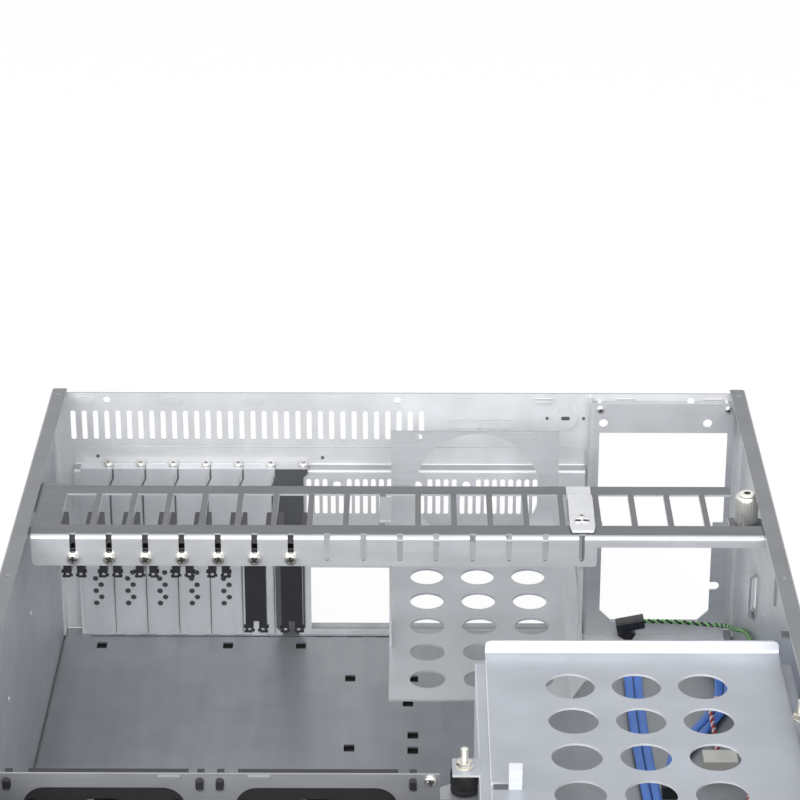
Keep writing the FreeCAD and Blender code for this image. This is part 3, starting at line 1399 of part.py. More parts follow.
# Front panel: rack ears with four slots, an intake grille before the fans, three drive bays
# behind blanks, and the buttons and lights.
panel_face = forward(s.body_depth + s.panel_thickness)
panel_mid = forward(s.body_depth + s.panel_thickness / 2)
ear_x = s.rack_spacing_x / 2
rack_low = (s.panel_height - s.rack_spacing_z) / 2
bay_left = (s.cage_left + s.cage_right - s.bay_width) / 2
front_panel = body("front_panel")
plate = sketch(front_panel, "y", panel_face)
rectangle(plate, -s.panel_width / 2, s.panel_width / 2, 0, s.panel_height)
pad(front_panel, plate, s.panel_thickness)
holes = sketch(front_panel, "y", panel_mid)
for side in (-1, 1):
    for rise in (0, 1):
        round_slot(holes, side * ear_x, rack_low + s.rack_spacing_z * rise,
                   s.rack_slot_length, s.rack_slot_width)
rectangle(holes, bay_left, bay_left + s.bay_width, s.bay_low, s.bay_low + s.bay_height * 3)
circle(holes, s.control_x, s.power_level, s.power_radius + s.button_gap)
circle(holes, s.control_x, s.reset_level, s.reset_radius + s.button_gap)
for number in range(2):
    circle(holes, s.control_x, s.light_level - s.light_pitch * number, s.light_radius)
pocket(front_panel, holes, s.panel_thickness * 2)
intake = sketch(front_panel, "y", panel_mid)
slot_outline(intake, s.intake_first, s.fan_level, s.intake_slot, s.intake_length)
repeat(front_panel, pocket(front_panel, intake, s.panel_thickness * 2), "x", s.intake_pitch,
       s.intake_count)
gap = s.button_gap
keep("bay_blanks", group(*[
    block(bay_left + gap, bay_left + s.bay_width - gap, panel_face,
          panel_face + s.blank_depth, s.bay_low + s.bay_height * n + gap,
          s.bay_low + s.bay_height * (n + 1) - gap)
    for n in range(3)]))

# Handles: a round bar bent twice, bolted to the front of each ear.
for side, node in ((-1, "rack_handle_left"), (1, "rack_handle_right")):
    x = side * s.handle_x
    radius = s.handle_radius
    turn = radius * 2.2
    mid = s.panel_height / 2
    grip = panel_face - s.handle_reach + radius
    pieces = [rod(x, grip, mid - s.handle_span / 2 + turn, "z", radius,
                  s.handle_span - turn * 2)]
    for rise in (-1, 1):
        z = mid + rise * s.handle_span / 2
        pieces.append(rod(x, grip + turn, z, "y", radius, s.handle_reach - radius - turn))
        elbow = doc.addObject("Part::Torus", "Elbow")
        elbow.Placement = FreeCAD.Placement(
            FreeCAD.Vector(), FreeCAD.Rotation(FreeCAD.Vector(0, 1, 0), 90)
            * FreeCAD.Rotation(FreeCAD.Vector(0, 0, 1), 180 if rise > 0 else 270))
        elbow.Angle3 = 90
        bind(elbow, Radius1=turn, Radius2=radius, Placement__Base__x=x,
             Placement__Base__y=grip + turn, Placement__Base__z=z - rise * turn)
        pieces.append(elbow)
    keep(node, join(*pieces))

# Buttons, lights and the switch housings behind them. A button's stem runs in a bore of its
# housing, and its cap stops short of the housing by more than its travel.
housing_face = forward(s.body_depth)
housing_back = housing_face + s.housing_depth
for node, level, cap_radius, proud, stem in (
        ("power_button", s.power_level, s.power_radius, 2, s.button_stem),
        ("reset_button", s.reset_level, s.reset_radius, 1.8, s.reset_stem)):
    cap = s.panel_thickness - s.power_travel - s.button_stop
    keep(node, join(
        rod(s.control_x, panel_face - proud, level, "y", cap_radius, cap + proud),
        rod(s.control_x, panel_face, level, "y", stem, s.panel_thickness + s.stem_reach)))
bore_depth = s.stem_reach + s.power_travel + s.button_stop
keep("switch_housings", group(*[
    cut(block(s.control_x - half, s.control_x + half, housing_face, housing_back,
              level - half, level + half),
        rod(s.control_x, housing_face - 1, level, "y", bore, bore_depth + 1))
    for level, half, bore in ((s.power_level, 8.5, s.button_stem + gap),
                              (s.reset_level, 5, s.reset_stem + gap),
                              (s.port_level, 8, s.button_stem))]))
keep("status_lights", group(*[
    rod(s.control_x, panel_face - 0.6, s.light_level - s.light_pitch * n, "y", s.light_radius,
        s.panel_thickness + 6) for n in range(2)]))

# Cables that lie loose in the case, each from a housing behind the front panel to its plug.
# The points are chosen by eye: (x, d, z).
ROUTES = {
    "signal_cable": (s.signal_radius, [
        (31, 488, 132), (31, 476, 132), (30, 464, 125), (27, 454, 111), (25, 449.5, 92),
        (24, 449, 70), (24.5, 450, 48), (29, 450.5, 29), (40, 449, 15), (58, 445, 7.5),
        (82, 438, 4.6), (112, 424, 4.2), (146, 399, 4.1), (176, 364, 5), (194, 322, 12),
        (203, 280, 28), (208, 238, 46), (210.5, 198, 60), (211.2, 158, 70), (211, 120, 61),
        (211.2, 88, 48.5), (210.4, 62, 35), (205, 38, 25), (192, 26, 19.3), (174, 22, 19),
        (156, 22, 19)]),
    "power_cable": (s.power_lead_radius, [
        (31, 488, 112), (31, 477, 112), (33, 466, 105), (35.5, 458, 91), (37, 453, 72),
        (37, 451, 52), (39, 449, 34), (47, 446, 19.5), (62, 442, 10), (84, 431, 5.2),
        (112, 412, 4.4), (138, 386, 4.1), (162, 350, 4.2), (180, 310, 4.1), (193, 270, 4.2),
        (201, 230, 4.1), (206, 190, 4.2), (206.8, 150, 4.1), (206, 125, 6.5),
        (206, 112, 9.8), (201.1, 107.1, 12.2), (194.2, 107.1, 12.6), (189.3, 112, 12.6),
        (189, 125, 12.2), (190, 148, 7.2), (190, 166, 7.2)]),
    "blue_cable": (s.blue_radius, [
        (31, 488, 66), (31, 466, 66), (31.5, 448, 54), (36, 440, 34), (50, 435, 19),
        (72, 424, 10.5), (97, 404, 7), (119, 377, 6.2), (137, 340, 6.1), (147, 294, 6.2),
        (149, 246, 6.1), (147, 200, 6.2), (145.5, 155, 6.1), (145.2, 110, 6.2),
        (145.6, 76, 7.4), (146.6, 52.3, 8.6), (162.5, 36, 9.6), (185, 36, 9.8),
        (201, 52.3, 8.8), (202, 76, 6.8), (199, 99, 6.3), (190, 121, 6.2), (178, 141, 6.3),
        (167.5, 159, 6.4), (163, 178, 6.4), (163, 194, 6.4)]),
}


def cable(radius, points):
    """A round tube along straight runs joined by arcs as large as the runs allow."""
    spots = [FreeCAD.Vector(x, float(rear) - d, z) for x, d, z in points]
    edges, radii, last = [], [], spots[0]
    for before, here, after in zip(spots, spots[1:], spots[2:]):
        back, on = (before - here), (after - here)
        reach = 0.45 * min(back.Length, on.Length)
        half_turn = (math.pi - back.getAngle(on)) / 2
        bend_radius = reach / math.tan(half_turn)
        back.normalize()
        on.normalize()
        inward = back + on
        inward.normalize()
        middle = here + inward * (bend_radius / math.cos(half_turn) - bend_radius)
        start, end = here + back * reach, here + on * reach
        edges += [Part.LineSegment(last, start).toShape(), Part.Arc(start, middle, end).toShape()]
        radii.append(round(bend_radius, 1))
        last = end
    edges.append(Part.LineSegment(last, spots[-1]).toShape())
    path = Part.Wire(edges)
    way = spots[1] - spots[0]
    ring = Part.Wire(Part.makeCircle(radius, spots[0], way))
    tube = path.makePipeShell([ring], True, False)
    section = math.pi * radius ** 2 * path.Length
    print("radii", radii, "length", round(path.Length, 1), "volume", round(tube.Volume / section, 4))
    return tube


for node, (radius, points) in ROUTES.items():
    lead = doc.addObject("Part::Feature", node)
    lead.Shape = cable(float(radius), points)
    keep(node, lead)
rest = floor_top + s.knob_lift
keep("signal_plug", group(
    block(138, 156, forward(24.5), forward(19.5), 16.5, 21.5),
    block(140, 149, forward(29.5), forward(24.5), 9, 18)))
keep("power_plug", block(180, 200, forward(180), forward(166), rest, rest + 9))
keep("blue_plug", block(154, 172, forward(206), forward(194), rest, rest + 8))

doc.recompute()
for thing in doc.Objects:
    if "Invalid" in thing.State or "Error" in thing.State:
        raise RuntimeError(f"{thing.Label} did not build: {thing.State}")
os.makedirs("parts", exist_ok=True)
for node in nodes:
    if node.Shape.isNull() or not node.Shape.isValid():
        raise RuntimeError(f"{node.Label} has no valid shape")
    node.Shape.exportStep(f"parts/{node.Label}.step")
print(len(nodes), "nodes")
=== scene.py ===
import json
import math
import bmesh
import bpy
from mathutils import Matrix, Vector

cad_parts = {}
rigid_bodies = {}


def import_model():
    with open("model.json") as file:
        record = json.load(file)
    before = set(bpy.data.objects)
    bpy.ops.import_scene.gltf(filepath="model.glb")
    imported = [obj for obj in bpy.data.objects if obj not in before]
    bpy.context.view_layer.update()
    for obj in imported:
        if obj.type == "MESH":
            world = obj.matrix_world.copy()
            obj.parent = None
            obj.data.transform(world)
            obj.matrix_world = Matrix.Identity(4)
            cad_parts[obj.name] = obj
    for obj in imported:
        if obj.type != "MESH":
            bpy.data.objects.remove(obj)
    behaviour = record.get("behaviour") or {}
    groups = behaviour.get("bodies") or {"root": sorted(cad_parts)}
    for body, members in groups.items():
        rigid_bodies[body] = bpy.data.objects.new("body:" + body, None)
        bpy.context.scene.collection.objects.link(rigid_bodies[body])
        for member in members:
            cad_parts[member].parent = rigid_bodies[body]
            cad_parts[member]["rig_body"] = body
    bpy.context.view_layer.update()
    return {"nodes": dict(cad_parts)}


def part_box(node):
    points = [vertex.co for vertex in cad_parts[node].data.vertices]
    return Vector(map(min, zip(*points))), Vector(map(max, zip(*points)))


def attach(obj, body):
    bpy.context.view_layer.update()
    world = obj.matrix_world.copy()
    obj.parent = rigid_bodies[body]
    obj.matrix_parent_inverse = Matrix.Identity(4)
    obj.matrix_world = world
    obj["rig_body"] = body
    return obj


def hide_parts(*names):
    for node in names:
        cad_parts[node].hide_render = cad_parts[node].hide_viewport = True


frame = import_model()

nodes = frame["nodes"]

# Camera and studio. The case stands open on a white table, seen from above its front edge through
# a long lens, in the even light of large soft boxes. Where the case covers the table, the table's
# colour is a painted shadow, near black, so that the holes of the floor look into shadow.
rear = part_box("rear_panel")[1].y
CAMERA_PLACE = (0.00995, rear - 1.6179, 0.8883)
CAMERA_TILT = math.radians(90 - 24.16)
CAMERA_TURN = math.radians(0.314)
lens = bpy.data.cameras.new("Camera")
lens.sensor_width = 36
lens.lens = 128.5
camera = bpy.data.objects.new("Camera", lens)
camera.location = CAMERA_PLACE
camera.rotation_euler = (CAMERA_TILT, 0, CAMERA_TURN)
bpy.context.collection.objects.link(camera)
bpy.context.scene.camera = camera
bpy.context.scene.view_settings.view_transform = "Standard"


def softbox(name, place, aim, width, height, power):
    """A large rectangular lamp that faces a point."""
    lamp = bpy.data.lights.new(name, "AREA")
    lamp.shape = "RECTANGLE"
    lamp.size = width
    lamp.size_y = height
    lamp.energy = power
    thing = bpy.data.objects.new(name, lamp)
    thing.location = place
    thing.rotation_euler = (Vector(aim) - Vector(place)).to_track_quat("-Z", "Y").to_euler()
    bpy.context.collection.objects.link(thing)


softbox("Overhead", (0, -0.1, 2.2), (0, 0.05, 0), 2.2, 1.8, 16)
softbox("Front", (0, -2.3, 1.25), (0, 0.2, 0.1), 2.6, 1.0, 58)
softbox("FrontLeft", (-1.8, -1.5, 1.5), (0, 0.15, 0.1), 1.4, 1.2, 18)


def figure(tree, operation, first, second):
    """A Math node on two values, each a socket or a number."""
    node = tree.nodes.new("ShaderNodeMath")
    node.operation = operation
    for socket, value in zip(node.inputs, (first, second)):
        if isinstance(value, float):
            socket.default_value = value
        else:
            tree.links.new(value, socket)
    return node.outputs[0]


def mixed(tree, factor, first, second, blend="MIX"):
    """A colour mixed from two others, each a socket or a colour."""
    node = tree.nodes.new("ShaderNodeMix")
    node.data_type = "RGBA"
    node.blend_type = blend
    for name, value in (("Factor", factor), ("A", first), ("B", second)):
        if isinstance(value, (float, tuple)):
            node.inputs[name].default_value = value
        else:
            tree.links.new(value, node.inputs[name])
    return node.outputs["Result"]


def rays_to_white(tree):
    """1 for the rays that see the surroundings as plain white."""
    ray = tree.nodes.new("ShaderNodeLightPath").outputs
    seen = figure(tree, "MAXIMUM", ray["Is Camera Ray"], ray["Is Glossy Ray"])
    return figure(tree, "MAXIMUM", seen, ray["Is Transmission Ray"])


world = bpy.data.worlds.new("Studio")
bpy.context.scene.world = world
world.use_nodes = True
sky = world.node_tree.nodes
links = world.node_tree.links
sky["Background"].inputs["Color"].default_value = (0.97, 0.985, 1, 1)
sky["Background"].inputs["Strength"].default_value = 0.78
white = sky.new("ShaderNodeBackground")
white.inputs["Strength"].default_value = 1.0
pick = sky.new("ShaderNodeMixShader")
links.new(rays_to_white(world.node_tree), pick.inputs["Fac"])
links.new(sky["Background"].outputs[0], pick.inputs[1])
links.new(white.outputs[0], pick.inputs[2])
links.new(pick.outputs[0], sky["World Output"].inputs["Surface"])


def new_material(name):
    """A material with its node tree and its main shader."""
    made = bpy.data.materials.new(name)
    made.use_nodes = True
    return made, made.node_tree, made.node_tree.nodes["Principled BSDF"]


TABLE_HALF = 4
TABLE_DROP = 0.0004
SHADOW_INSET = 0.003
GLOW_SHARE = 0.9
# The first tone is a painted shadow: the table's near-black colour where the case stands on it;
# the second is the open paper.
CASE_SHADOW_TONE, OPEN_TONE = (0.012, 0.012, 0.013, 1), (0.9, 0.9, 0.9, 1)
table_mesh = bpy.data.meshes.new("table_top")
table_top = bpy.data.objects.new("table_top", table_mesh)
bpy.context.collection.objects.link(table_top)
table_mesh.from_pydata([(TABLE_HALF * x, TABLE_HALF * y, -TABLE_DROP)
                        for x, y in ((-1, -1), (1, -1), (1, 1), (-1, 1))], [], [(0, 1, 2, 3)])
paper, tree, shader = new_material("white_paper")
shader.inputs["Roughness"].default_value = 0.8
place = tree.nodes.new("ShaderNodeTexCoord")
axes = tree.nodes.new("ShaderNodeSeparateXYZ")
tree.links.new(place.outputs["Object"], axes.inputs[0])
wall_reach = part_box("right_side_wall")[1].x - SHADOW_INSET
clear_of_case = 0.0
for axis, low, high in (("X", -wall_reach, wall_reach),
                        ("Y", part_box("floor_pan")[0].y, rear - SHADOW_INSET)):
    for operation, edge in (("LESS_THAN", low), ("GREATER_THAN", high)):
        beyond = figure(tree, operation, axes.outputs[axis], edge)
        clear_of_case = figure(tree, "MAXIMUM", clear_of_case, beyond)
paper_tone = mixed(tree, clear_of_case, CASE_SHADOW_TONE, OPEN_TONE)
tree.links.new(paper_tone, shader.inputs["Base Color"])
glow = tree.nodes.new("ShaderNodeEmission")
share = figure(tree, "MULTIPLY", rays_to_white(tree), clear_of_case)
both = tree.nodes.new("ShaderNodeMixShader")
tree.links.new(figure(tree, "MULTIPLY", share, GLOW_SHARE), both.inputs["Fac"])
tree.links.new(shader.outputs[0], both.inputs[1])
tree.links.new(glow.outputs[0], both.inputs[2])
tree.links.new(both.outputs[0], tree.nodes["Material Output"].inputs["Surface"])
table_mesh.materials.append(paper)

# Loose cables. Three leads come from the housings behind the front panel, pass into the drive
# cage and lie on the floor: a green and black twisted pair, a red and white one, and a flat
# blue twin. Each is copper in a vinyl jacket, crimped into moulded plugs.


def spot(x, d, z):
    """A route point as a place; x, z and d, forward from the rear panel, are in millimetres."""
    return Vector((x / 1000, rear - d / 1000, z / 1000))


def noise_shade(tree, scale, low, high, stretch=(1, 1, 1), detail=4.0):
    """A colour that wanders between two tones over a surface, and the bare noise."""
    place = tree.nodes.new("ShaderNodeTexCoord")
    spread = tree.nodes.new("ShaderNodeMapping")
    spread.inputs["Scale"].default_value = stretch
    noise = tree.nodes.new("ShaderNodeTexNoise")
    noise.inputs["Scale"].default_value = scale
    noise.inputs["Detail"].default_value = detail
    ramp = tree.nodes.new("ShaderNodeValToRGB")
    ramp.color_ramp.elements[0].position = 0.3
    ramp.color_ramp.elements[0].color = (*low, 1)
    ramp.color_ramp.elements[1].position = 0.7
    ramp.color_ramp.elements[1].color = (*high, 1)
    tree.links.new(place.outputs["Object"], spread.inputs["Vector"])
    tree.links.new(spread.outputs[0], noise.inputs["Vector"])
    tree.links.new(noise.outputs["Fac"], ramp.inputs["Fac"])
    return ramp.outputs["Color"], noise.outputs["Fac"]


def tinted(colour, share):
    """The colour made darker or lighter by a share."""
    return tuple(min(1.0, c * share) for c in colour)


def emboss(tree, shader, height, strength, distance):
    """Let a height pattern raise the surface."""
    bump = tree.nodes.new("ShaderNodeBump")
    bump.inputs["Strength"].default_value = strength
    bump.inputs["Distance"].default_value = distance
    tree.links.new(height, bump.inputs["Height"])
    tree.links.new(bump.outputs[0], shader.inputs["Normal"])


def plastic(name, colour, roughness, grain=900, depth=0.06, coat=0.0):
    """Moulded or extruded plastic: a slightly mottled colour and a fine moulded texture."""
    made, tree, shader = new_material(name)
    mottle, _ = noise_shade(tree, 60, tinted(colour, 0.9), tinted(colour, 1.1))
    tree.links.new(mottle, shader.inputs["Base Color"])
    shader.inputs["Roughness"].default_value = roughness
    shader.inputs["Coat Weight"].default_value = coat
    _, fine = noise_shade(tree, grain, (0, 0, 0), (1, 1, 1), detail=2.0)
    emboss(tree, shader, fine, depth, 0.0004)
    return made


def dress(material, *names):
    """Give a material to whole CAD nodes."""
    for name in names:
        nodes[name].data.materials.clear()
        nodes[name].data.materials.append(material)


CREASE_ANGLE = math.radians(38)


def mesh_piece(name, bm, body, *materials):
    """Turn a bmesh into a piece that rides on a body; shades it smooth at shallow angles."""
    bmesh.ops.recalc_face_normals(bm, faces=bm.faces)
    mesh = bpy.data.meshes.new(name)
    bm.to_mesh(mesh)
    bm.free()
    for material in materials:
        mesh.materials.append(material)
    mesh.shade_smooth()
    mesh.set_sharp_from_angle(angle=CREASE_ANGLE)
    made = bpy.data.objects.new(name, mesh)
    bpy.context.collection.objects.link(made)
    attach(made, body)
    return made


def route_line(points, step):
    """Evenly spaced points along the smooth line that has these control points."""
    line = bpy.data.curves.new("route", "CURVE")
    line.dimensions = "3D"
    line.resolution_u = 32
    spline = line.splines.new("NURBS")
    spline.points.add(len(points) - 1)
    for knot, (x, d, z) in zip(spline.points, points):
        knot.co = (*spot(x, d, z), 1)
    spline.order_u = 3
    spline.use_endpoint_u = True
    guide = bpy.data.objects.new("route", line)
    drawn = bpy.data.meshes.new_from_object(guide)
    raw = [v.co.copy() for v in drawn.vertices]
    bpy.data.objects.remove(guide)
    bpy.data.meshes.remove(drawn)
    bpy.data.curves.remove(line)
    even, left = [raw[0]], step
    for start, end in zip(raw, raw[1:]):
        run = (end - start).length
        while run >= left > 0:
            start = start.lerp(end, left / run)
            even.append(start)
            run = (end - start).length
            left = step
        left -= run
    even.append(raw[-1])
    return even


def path_frames(line):
    """At each point: the point, a side and an up direction, turned as little as possible."""
    frames = []
    side = Vector((1, 0, 0))
    for i, point in enumerate(line):
        ahead = (line[min(i + 1, len(line) - 1)] - line[max(i - 1, 0)]).normalized()
        side = (side - ahead * side.dot(ahead)).normalized()
        frames.append((point, side, ahead.cross(side)))
    return frames


def strand(bm, frames, section, material):
    """A closed tube whose section at each frame is a list of (side, up) offsets."""
    rings = []
    for i, (point, side, up) in enumerate(frames):
        rings.append([bm.verts.new(point + side * u + up * v) for u, v in section(i)])
    count = len(rings[0])
    for before, after in zip(rings, rings[1:]):
        for k in range(count):
            face = bm.faces.new((before[k], before[(k + 1) % count],
                                 after[(k + 1) % count], after[k]))
            face.material_index = material
    for ring in (rings[0], rings[-1]):
        bm.faces.new(ring).material_index = material


SIGNAL_ROUTE = [
    (31, 488, 132), (31, 476, 132), (30, 464, 125), (27, 454, 111), (25, 449.5, 92),
    (24, 449, 70), (24.5, 450, 48), (29, 450.5, 29), (40, 449, 15), (58, 445, 7.5),
    (82, 438, 4.6), (112, 424, 4.2), (146, 399, 4.1), (176, 364, 5), (194, 322, 12),
    (203, 280, 28), (208, 238, 46), (210.5, 198, 60), (211.2, 158, 70), (211, 120, 61),
    (211.2, 88, 48.5), (210.4, 62, 35), (205, 38, 25), (192, 26, 19.3), (174, 22, 19),
    (156, 22, 19)]
POWER_ROUTE = [
    (31, 488, 112), (31, 477, 112), (33, 466, 105), (35.5, 458, 91), (37, 453, 72),
    (37, 451, 52), (39, 449, 34), (47, 446, 19.5), (62, 442, 10), (84, 431, 5.2),
    (112, 412, 4.4), (138, 386, 4.1), (162, 350, 4.2), (180, 310, 4.1), (193, 270, 4.2),
    (201, 230, 4.1), (206, 190, 4.2), (206.8, 150, 4.1), (206, 125, 6.5), (206, 112, 9.8),
    (201.1, 107.1, 12.2), (194.2, 107.1, 12.6), (189.3, 112, 12.6), (189, 125, 12.2),
    (190, 148, 7.2), (190, 166, 7.2)]
BLUE_ROUTE = [
    (31, 488, 66), (31, 466, 66), (31.5, 448, 54), (36, 440, 34), (50, 435, 19),
    (72, 424, 10.5), (97, 404, 7), (119, 377, 6.2), (137, 340, 6.1), (147, 294, 6.2),
    (149, 246, 6.1), (147, 200, 6.2), (145.5, 155, 6.1), (145.2, 110, 6.2), (145.6, 76, 7.4),
    (146.6, 52.3, 8.6), (162.5, 36, 9.6), (185, 36, 9.8), (201, 52.3, 8.8), (202, 76, 6.8),
    (199, 99, 6.3), (190, 121, 6.2), (178, 141, 6.3), (167.5, 159, 6.4), (163, 178, 6.4),
    (163, 194, 6.4)]
STRAND_RADIUS = 0.00082
STRAND_SIDES = 8
TWIST_LENGTH = 0.0056
ROUTE_STEP = 0.0011
black_housing = plastic("black_housing", (0.022, 0.022, 0.025), 0.4)
white_housing = plastic("white_housing", (0.72, 0.71, 0.66), 0.42)
PAD_SHARE, PAD_LIFT = 0.62, 0.4


def housing(name, corner, opposite, cells, material, rim=0.0005):
    """A small crimp housing: a bevelled block with a row of latch pads on its open faces."""
    low = Vector(map(min, corner, opposite))
    high = Vector(map(max, corner, opposite))
    bm = bmesh.new()
    made = bmesh.ops.create_cube(bm, size=1)
    size, middle = high - low, (low + high) / 2
    for vert in made["verts"]:
        vert.co = Vector(c * s for c, s in zip(vert.co, size)) + middle
    bmesh.ops.bevel(bm, geom=list(bm.edges), offset=rim, segments=2, profile=0.6,
                    affect="EDGES")
    long_axis = 0 if size.x > size.z else 2
    pad = size.copy()
    pad[long_axis] = size[long_axis] / (cells * 2)
    for cell in range(cells):
        place = middle.copy()
        place[long_axis] = low[long_axis] + size[long_axis] * (cell + 0.5) / cells
        for axis, out in ((2, high.z), (1, low.y)):
            if axis == long_axis:
                continue
            raised = bmesh.ops.create_cube(bm, size=1)
            for vert in raised["verts"]:
                vert.co = Vector(c * s * PAD_SHARE for c, s in zip(vert.co, pad))
                vert.co[axis] = math.copysign(rim * PAD_LIFT, vert.co[axis])
                vert.co += place
                vert.co[axis] += out - place[axis]
    return mesh_piece(name, bm, "case", material)


# The signal lead ends in two crimp housings that lie crossed. Each one's corners are given as
# shares of the room they fill together, and then its tip in degrees.
CROSSED = (((0, 0.56), (1, 1), 12), ((0.12, 0.02), (0.63, 0.6), -32))
low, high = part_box("signal_plug")
size = high - low
bm = bmesh.new()
for near, far, tip in CROSSED:
    corner = Vector((low.x + near[0] * size.x, low.y, low.z + near[1] * size.z))
    opposite = Vector((low.x + far[0] * size.x, high.y, low.z + far[1] * size.z))
    block = housing("signal_housing", corner, opposite, 2, black_housing)
    middle = (corner + opposite) / 2
    block.data.transform(Matrix.Translation(middle) @ Matrix.Rotation(math.radians(-tip), 4, "Y")
                         @ Matrix.Translation(-middle))
    bm.from_mesh(block.data)
    bpy.data.objects.remove(block)
signal_plug = mesh_piece("signal_plug_crossed", bm, "case", black_housing)
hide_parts("signal_plug")
for name, route, length, colours in (
        ("signal_cable", SIGNAL_ROUTE, 0.7125, ((0.24, 0.52, 0.2), (0.02, 0.035, 0.03))),
        ("power_cable", POWER_ROUTE, 0.5905, ((0.5, 0.03, 0.04), (0.75, 0.72, 0.7)))):
    line = route_line(route, ROUTE_STEP)
    frames = path_frames(line)
    bm = bmesh.new()
    for number in range(2):
        def around(i, number=number):
            turn = math.tau * (i * ROUTE_STEP / TWIST_LENGTH + number / 2)
            middle_u, middle_v = STRAND_RADIUS * math.cos(turn), STRAND_RADIUS * math.sin(turn)
            return [(middle_u + STRAND_RADIUS * math.cos(math.tau * k / STRAND_SIDES),
                     middle_v + STRAND_RADIUS * math.sin(math.tau * k / STRAND_SIDES))
                    for k in range(STRAND_SIDES)]
        strand(bm, frames, around, number)
    vinyls = [plastic(f"{name}_vinyl_{n + 1}", colour, 0.35, grain=400, coat=0.2)
              for n, colour in enumerate(colours)]
    lead = mesh_piece(f"{name}_pair", bm, "case", *vinyls)
    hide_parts(name)
RIBBON_HALF, RIBBON_THICK, RIBBON_MIDDLE = 0.0026, 0.0007, 0.0029
RIBBON_SIDES = 12
STEEP = 0.3
KEPT, FOLLOWED = 0.8, 0.2
line = route_line(BLUE_ROUTE, ROUTE_STEP * 2)
frames = []
for point, side, up in path_frames(line):
    ahead = side.cross(up)
    level = Vector((0, 0, 1)) - ahead * ahead.z
    if level.length > STEEP:
        level.normalize()
        side = level.cross(ahead)
        up = level
    frames.append((point, side, up))
for i in range(1, len(frames)):
    point, side, up = frames[i]
    before = frames[i - 1][1]
    if side.dot(before) < 0:
        side = -side
    side = before * KEPT + side * FOLLOWED
    ahead = (line[min(i + 1, len(line) - 1)] - line[i - 1]).normalized()
    side = (side - ahead * side.dot(ahead)).normalized()
    frames[i] = (point, side, side.cross(ahead))
bm = bmesh.new()
for way in (-1, 1):
    section = []
    for k in range(RIBBON_SIDES):
        turn = math.tau * (k + 0.5) / RIBBON_SIDES
        u, v = math.cos(turn), math.sin(turn)
        section.append((way * RIBBON_MIDDLE
                        + RIBBON_HALF * math.copysign(abs(u) ** 0.55, u),
                        RIBBON_THICK * math.copysign(abs(v) ** 0.7, v)))
    strand(bm, frames, lambda i, section=section: section, 0)
lead = mesh_piece("blue_cable_twin", bm, "case",
                  plastic("blue_vinyl", (0.035, 0.17, 0.62), 0.32, grain=300, coat=0.25))
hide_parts("blue_cable")
dress(black_housing, "blue_plug", "switch_housings")
dress(white_housing, "power_plug")

# Galvanised sheet steel. The floor, walls, frames, bar, tray and cage are all folded from
# zinc-coated sheet: a soft satin grey with a faint crystalline mottle and the mill's rolling
# lines. The parts get different tones of it that paint light and shade: the floor is darker, a
# painted shade deep in the tub; the rear panel and slot frame are lighter, painted front light;
# and the faces that look up take a painted reflection tone.


def spangle(tree, tone):
    """The crystalline mottle of zinc about a tone."""
    colour, _ = noise_shade(tree, 45, tinted(tone, 0.95), tinted(tone, 1.05), detail=6.0)
    return colour


def sheet_steel(name, tone, roughness=0.4, metallic=0.6, lines=(1, 1, 60), top=None):
    """Zinc-coated sheet; top is a painted reflection, another tone for the faces that look up."""
    made, tree, shader = new_material(name)
    mottle = spangle(tree, tone)
    # Painted reflection: faces that look up blend to the top tone, in place of what they would
    # mirror from the studio above.
    if top:
        face = tree.nodes.new("ShaderNodeNewGeometry")
        way = tree.nodes.new("ShaderNodeSeparateXYZ")
        tree.links.new(face.outputs["Normal"], way.inputs[0])
        level = tree.nodes.new("ShaderNodeMapRange")
        level.inputs["From Min"].default_value = 0.55
        level.inputs["From Max"].default_value = 0.95
        tree.links.new(way.outputs["Z"], level.inputs["Value"])
        mottle = mixed(tree, level.outputs[0], mottle, spangle(tree, top))
    streaks, rolled = noise_shade(tree, 16, (0.9, 0.9, 0.9), (1, 1, 1), stretch=lines,
                                  detail=3.0)
    tree.links.new(mixed(tree, 1.0, mottle, streaks, "MULTIPLY"), shader.inputs["Base Color"])
    shader.inputs["Metallic"].default_value = metallic
    rough, _ = noise_shade(tree, 12, (roughness * 0.88,) * 3, (roughness * 1.12,) * 3)
    tree.links.new(rough, shader.inputs["Roughness"])
    emboss(tree, shader, rolled, 0.04, 0.0003)
    return made


# Painted shade and light in the tones: the floor's dark tone stands in for the shade in the tub,
# the rear panel's and slot frame's light tone for the front light.
dress(sheet_steel("floor_steel_shaded", (0.325, 0.343, 0.365), 0.36, 0.6, lines=(6, 0.6, 1)),
      "floor_pan")
dress(sheet_steel("wall_steel", (0.53, 0.55, 0.58), 0.4, 0.45, lines=(1, 1, 12),
                  top=(0.22, 0.225, 0.235)),
      "left_side_wall", "right_side_wall", "bar_bracket_left", "bar_bracket_right")
dress(sheet_steel("rear_steel_lit", (0.76, 0.77, 0.79), 0.42, 0.3, lines=(3, 1, 1),
                  top=(0.36, 0.37, 0.385)),
      "rear_panel", "slot_frame")
dress(sheet_steel("supply_steel", (0.66, 0.67, 0.69), 0.4, 0.45), "psu_plate")
dress(sheet_steel("tray_steel", (0.64, 0.655, 0.675), 0.4, 0.5, top=(0.4, 0.41, 0.43)), "fan_tray")
dress(sheet_steel("cage_steel", (0.9, 0.92, 0.95), 0.42, 0.35, top=(0.38, 0.4, 0.44)),
      "drive_cage")
dress(sheet_steel("bulkhead_steel", (0.4, 0.41, 0.435), 0.38), "fan_bulkhead")

# Hold-down bar: one steel sheet, folded down along its front. Its top is pierced by windows
# whose sides are rolled down, its front flange by slots for the clip screws, and its right end
# steps down to a tab under the thumbscrew. It is cut flat first, and then folded.


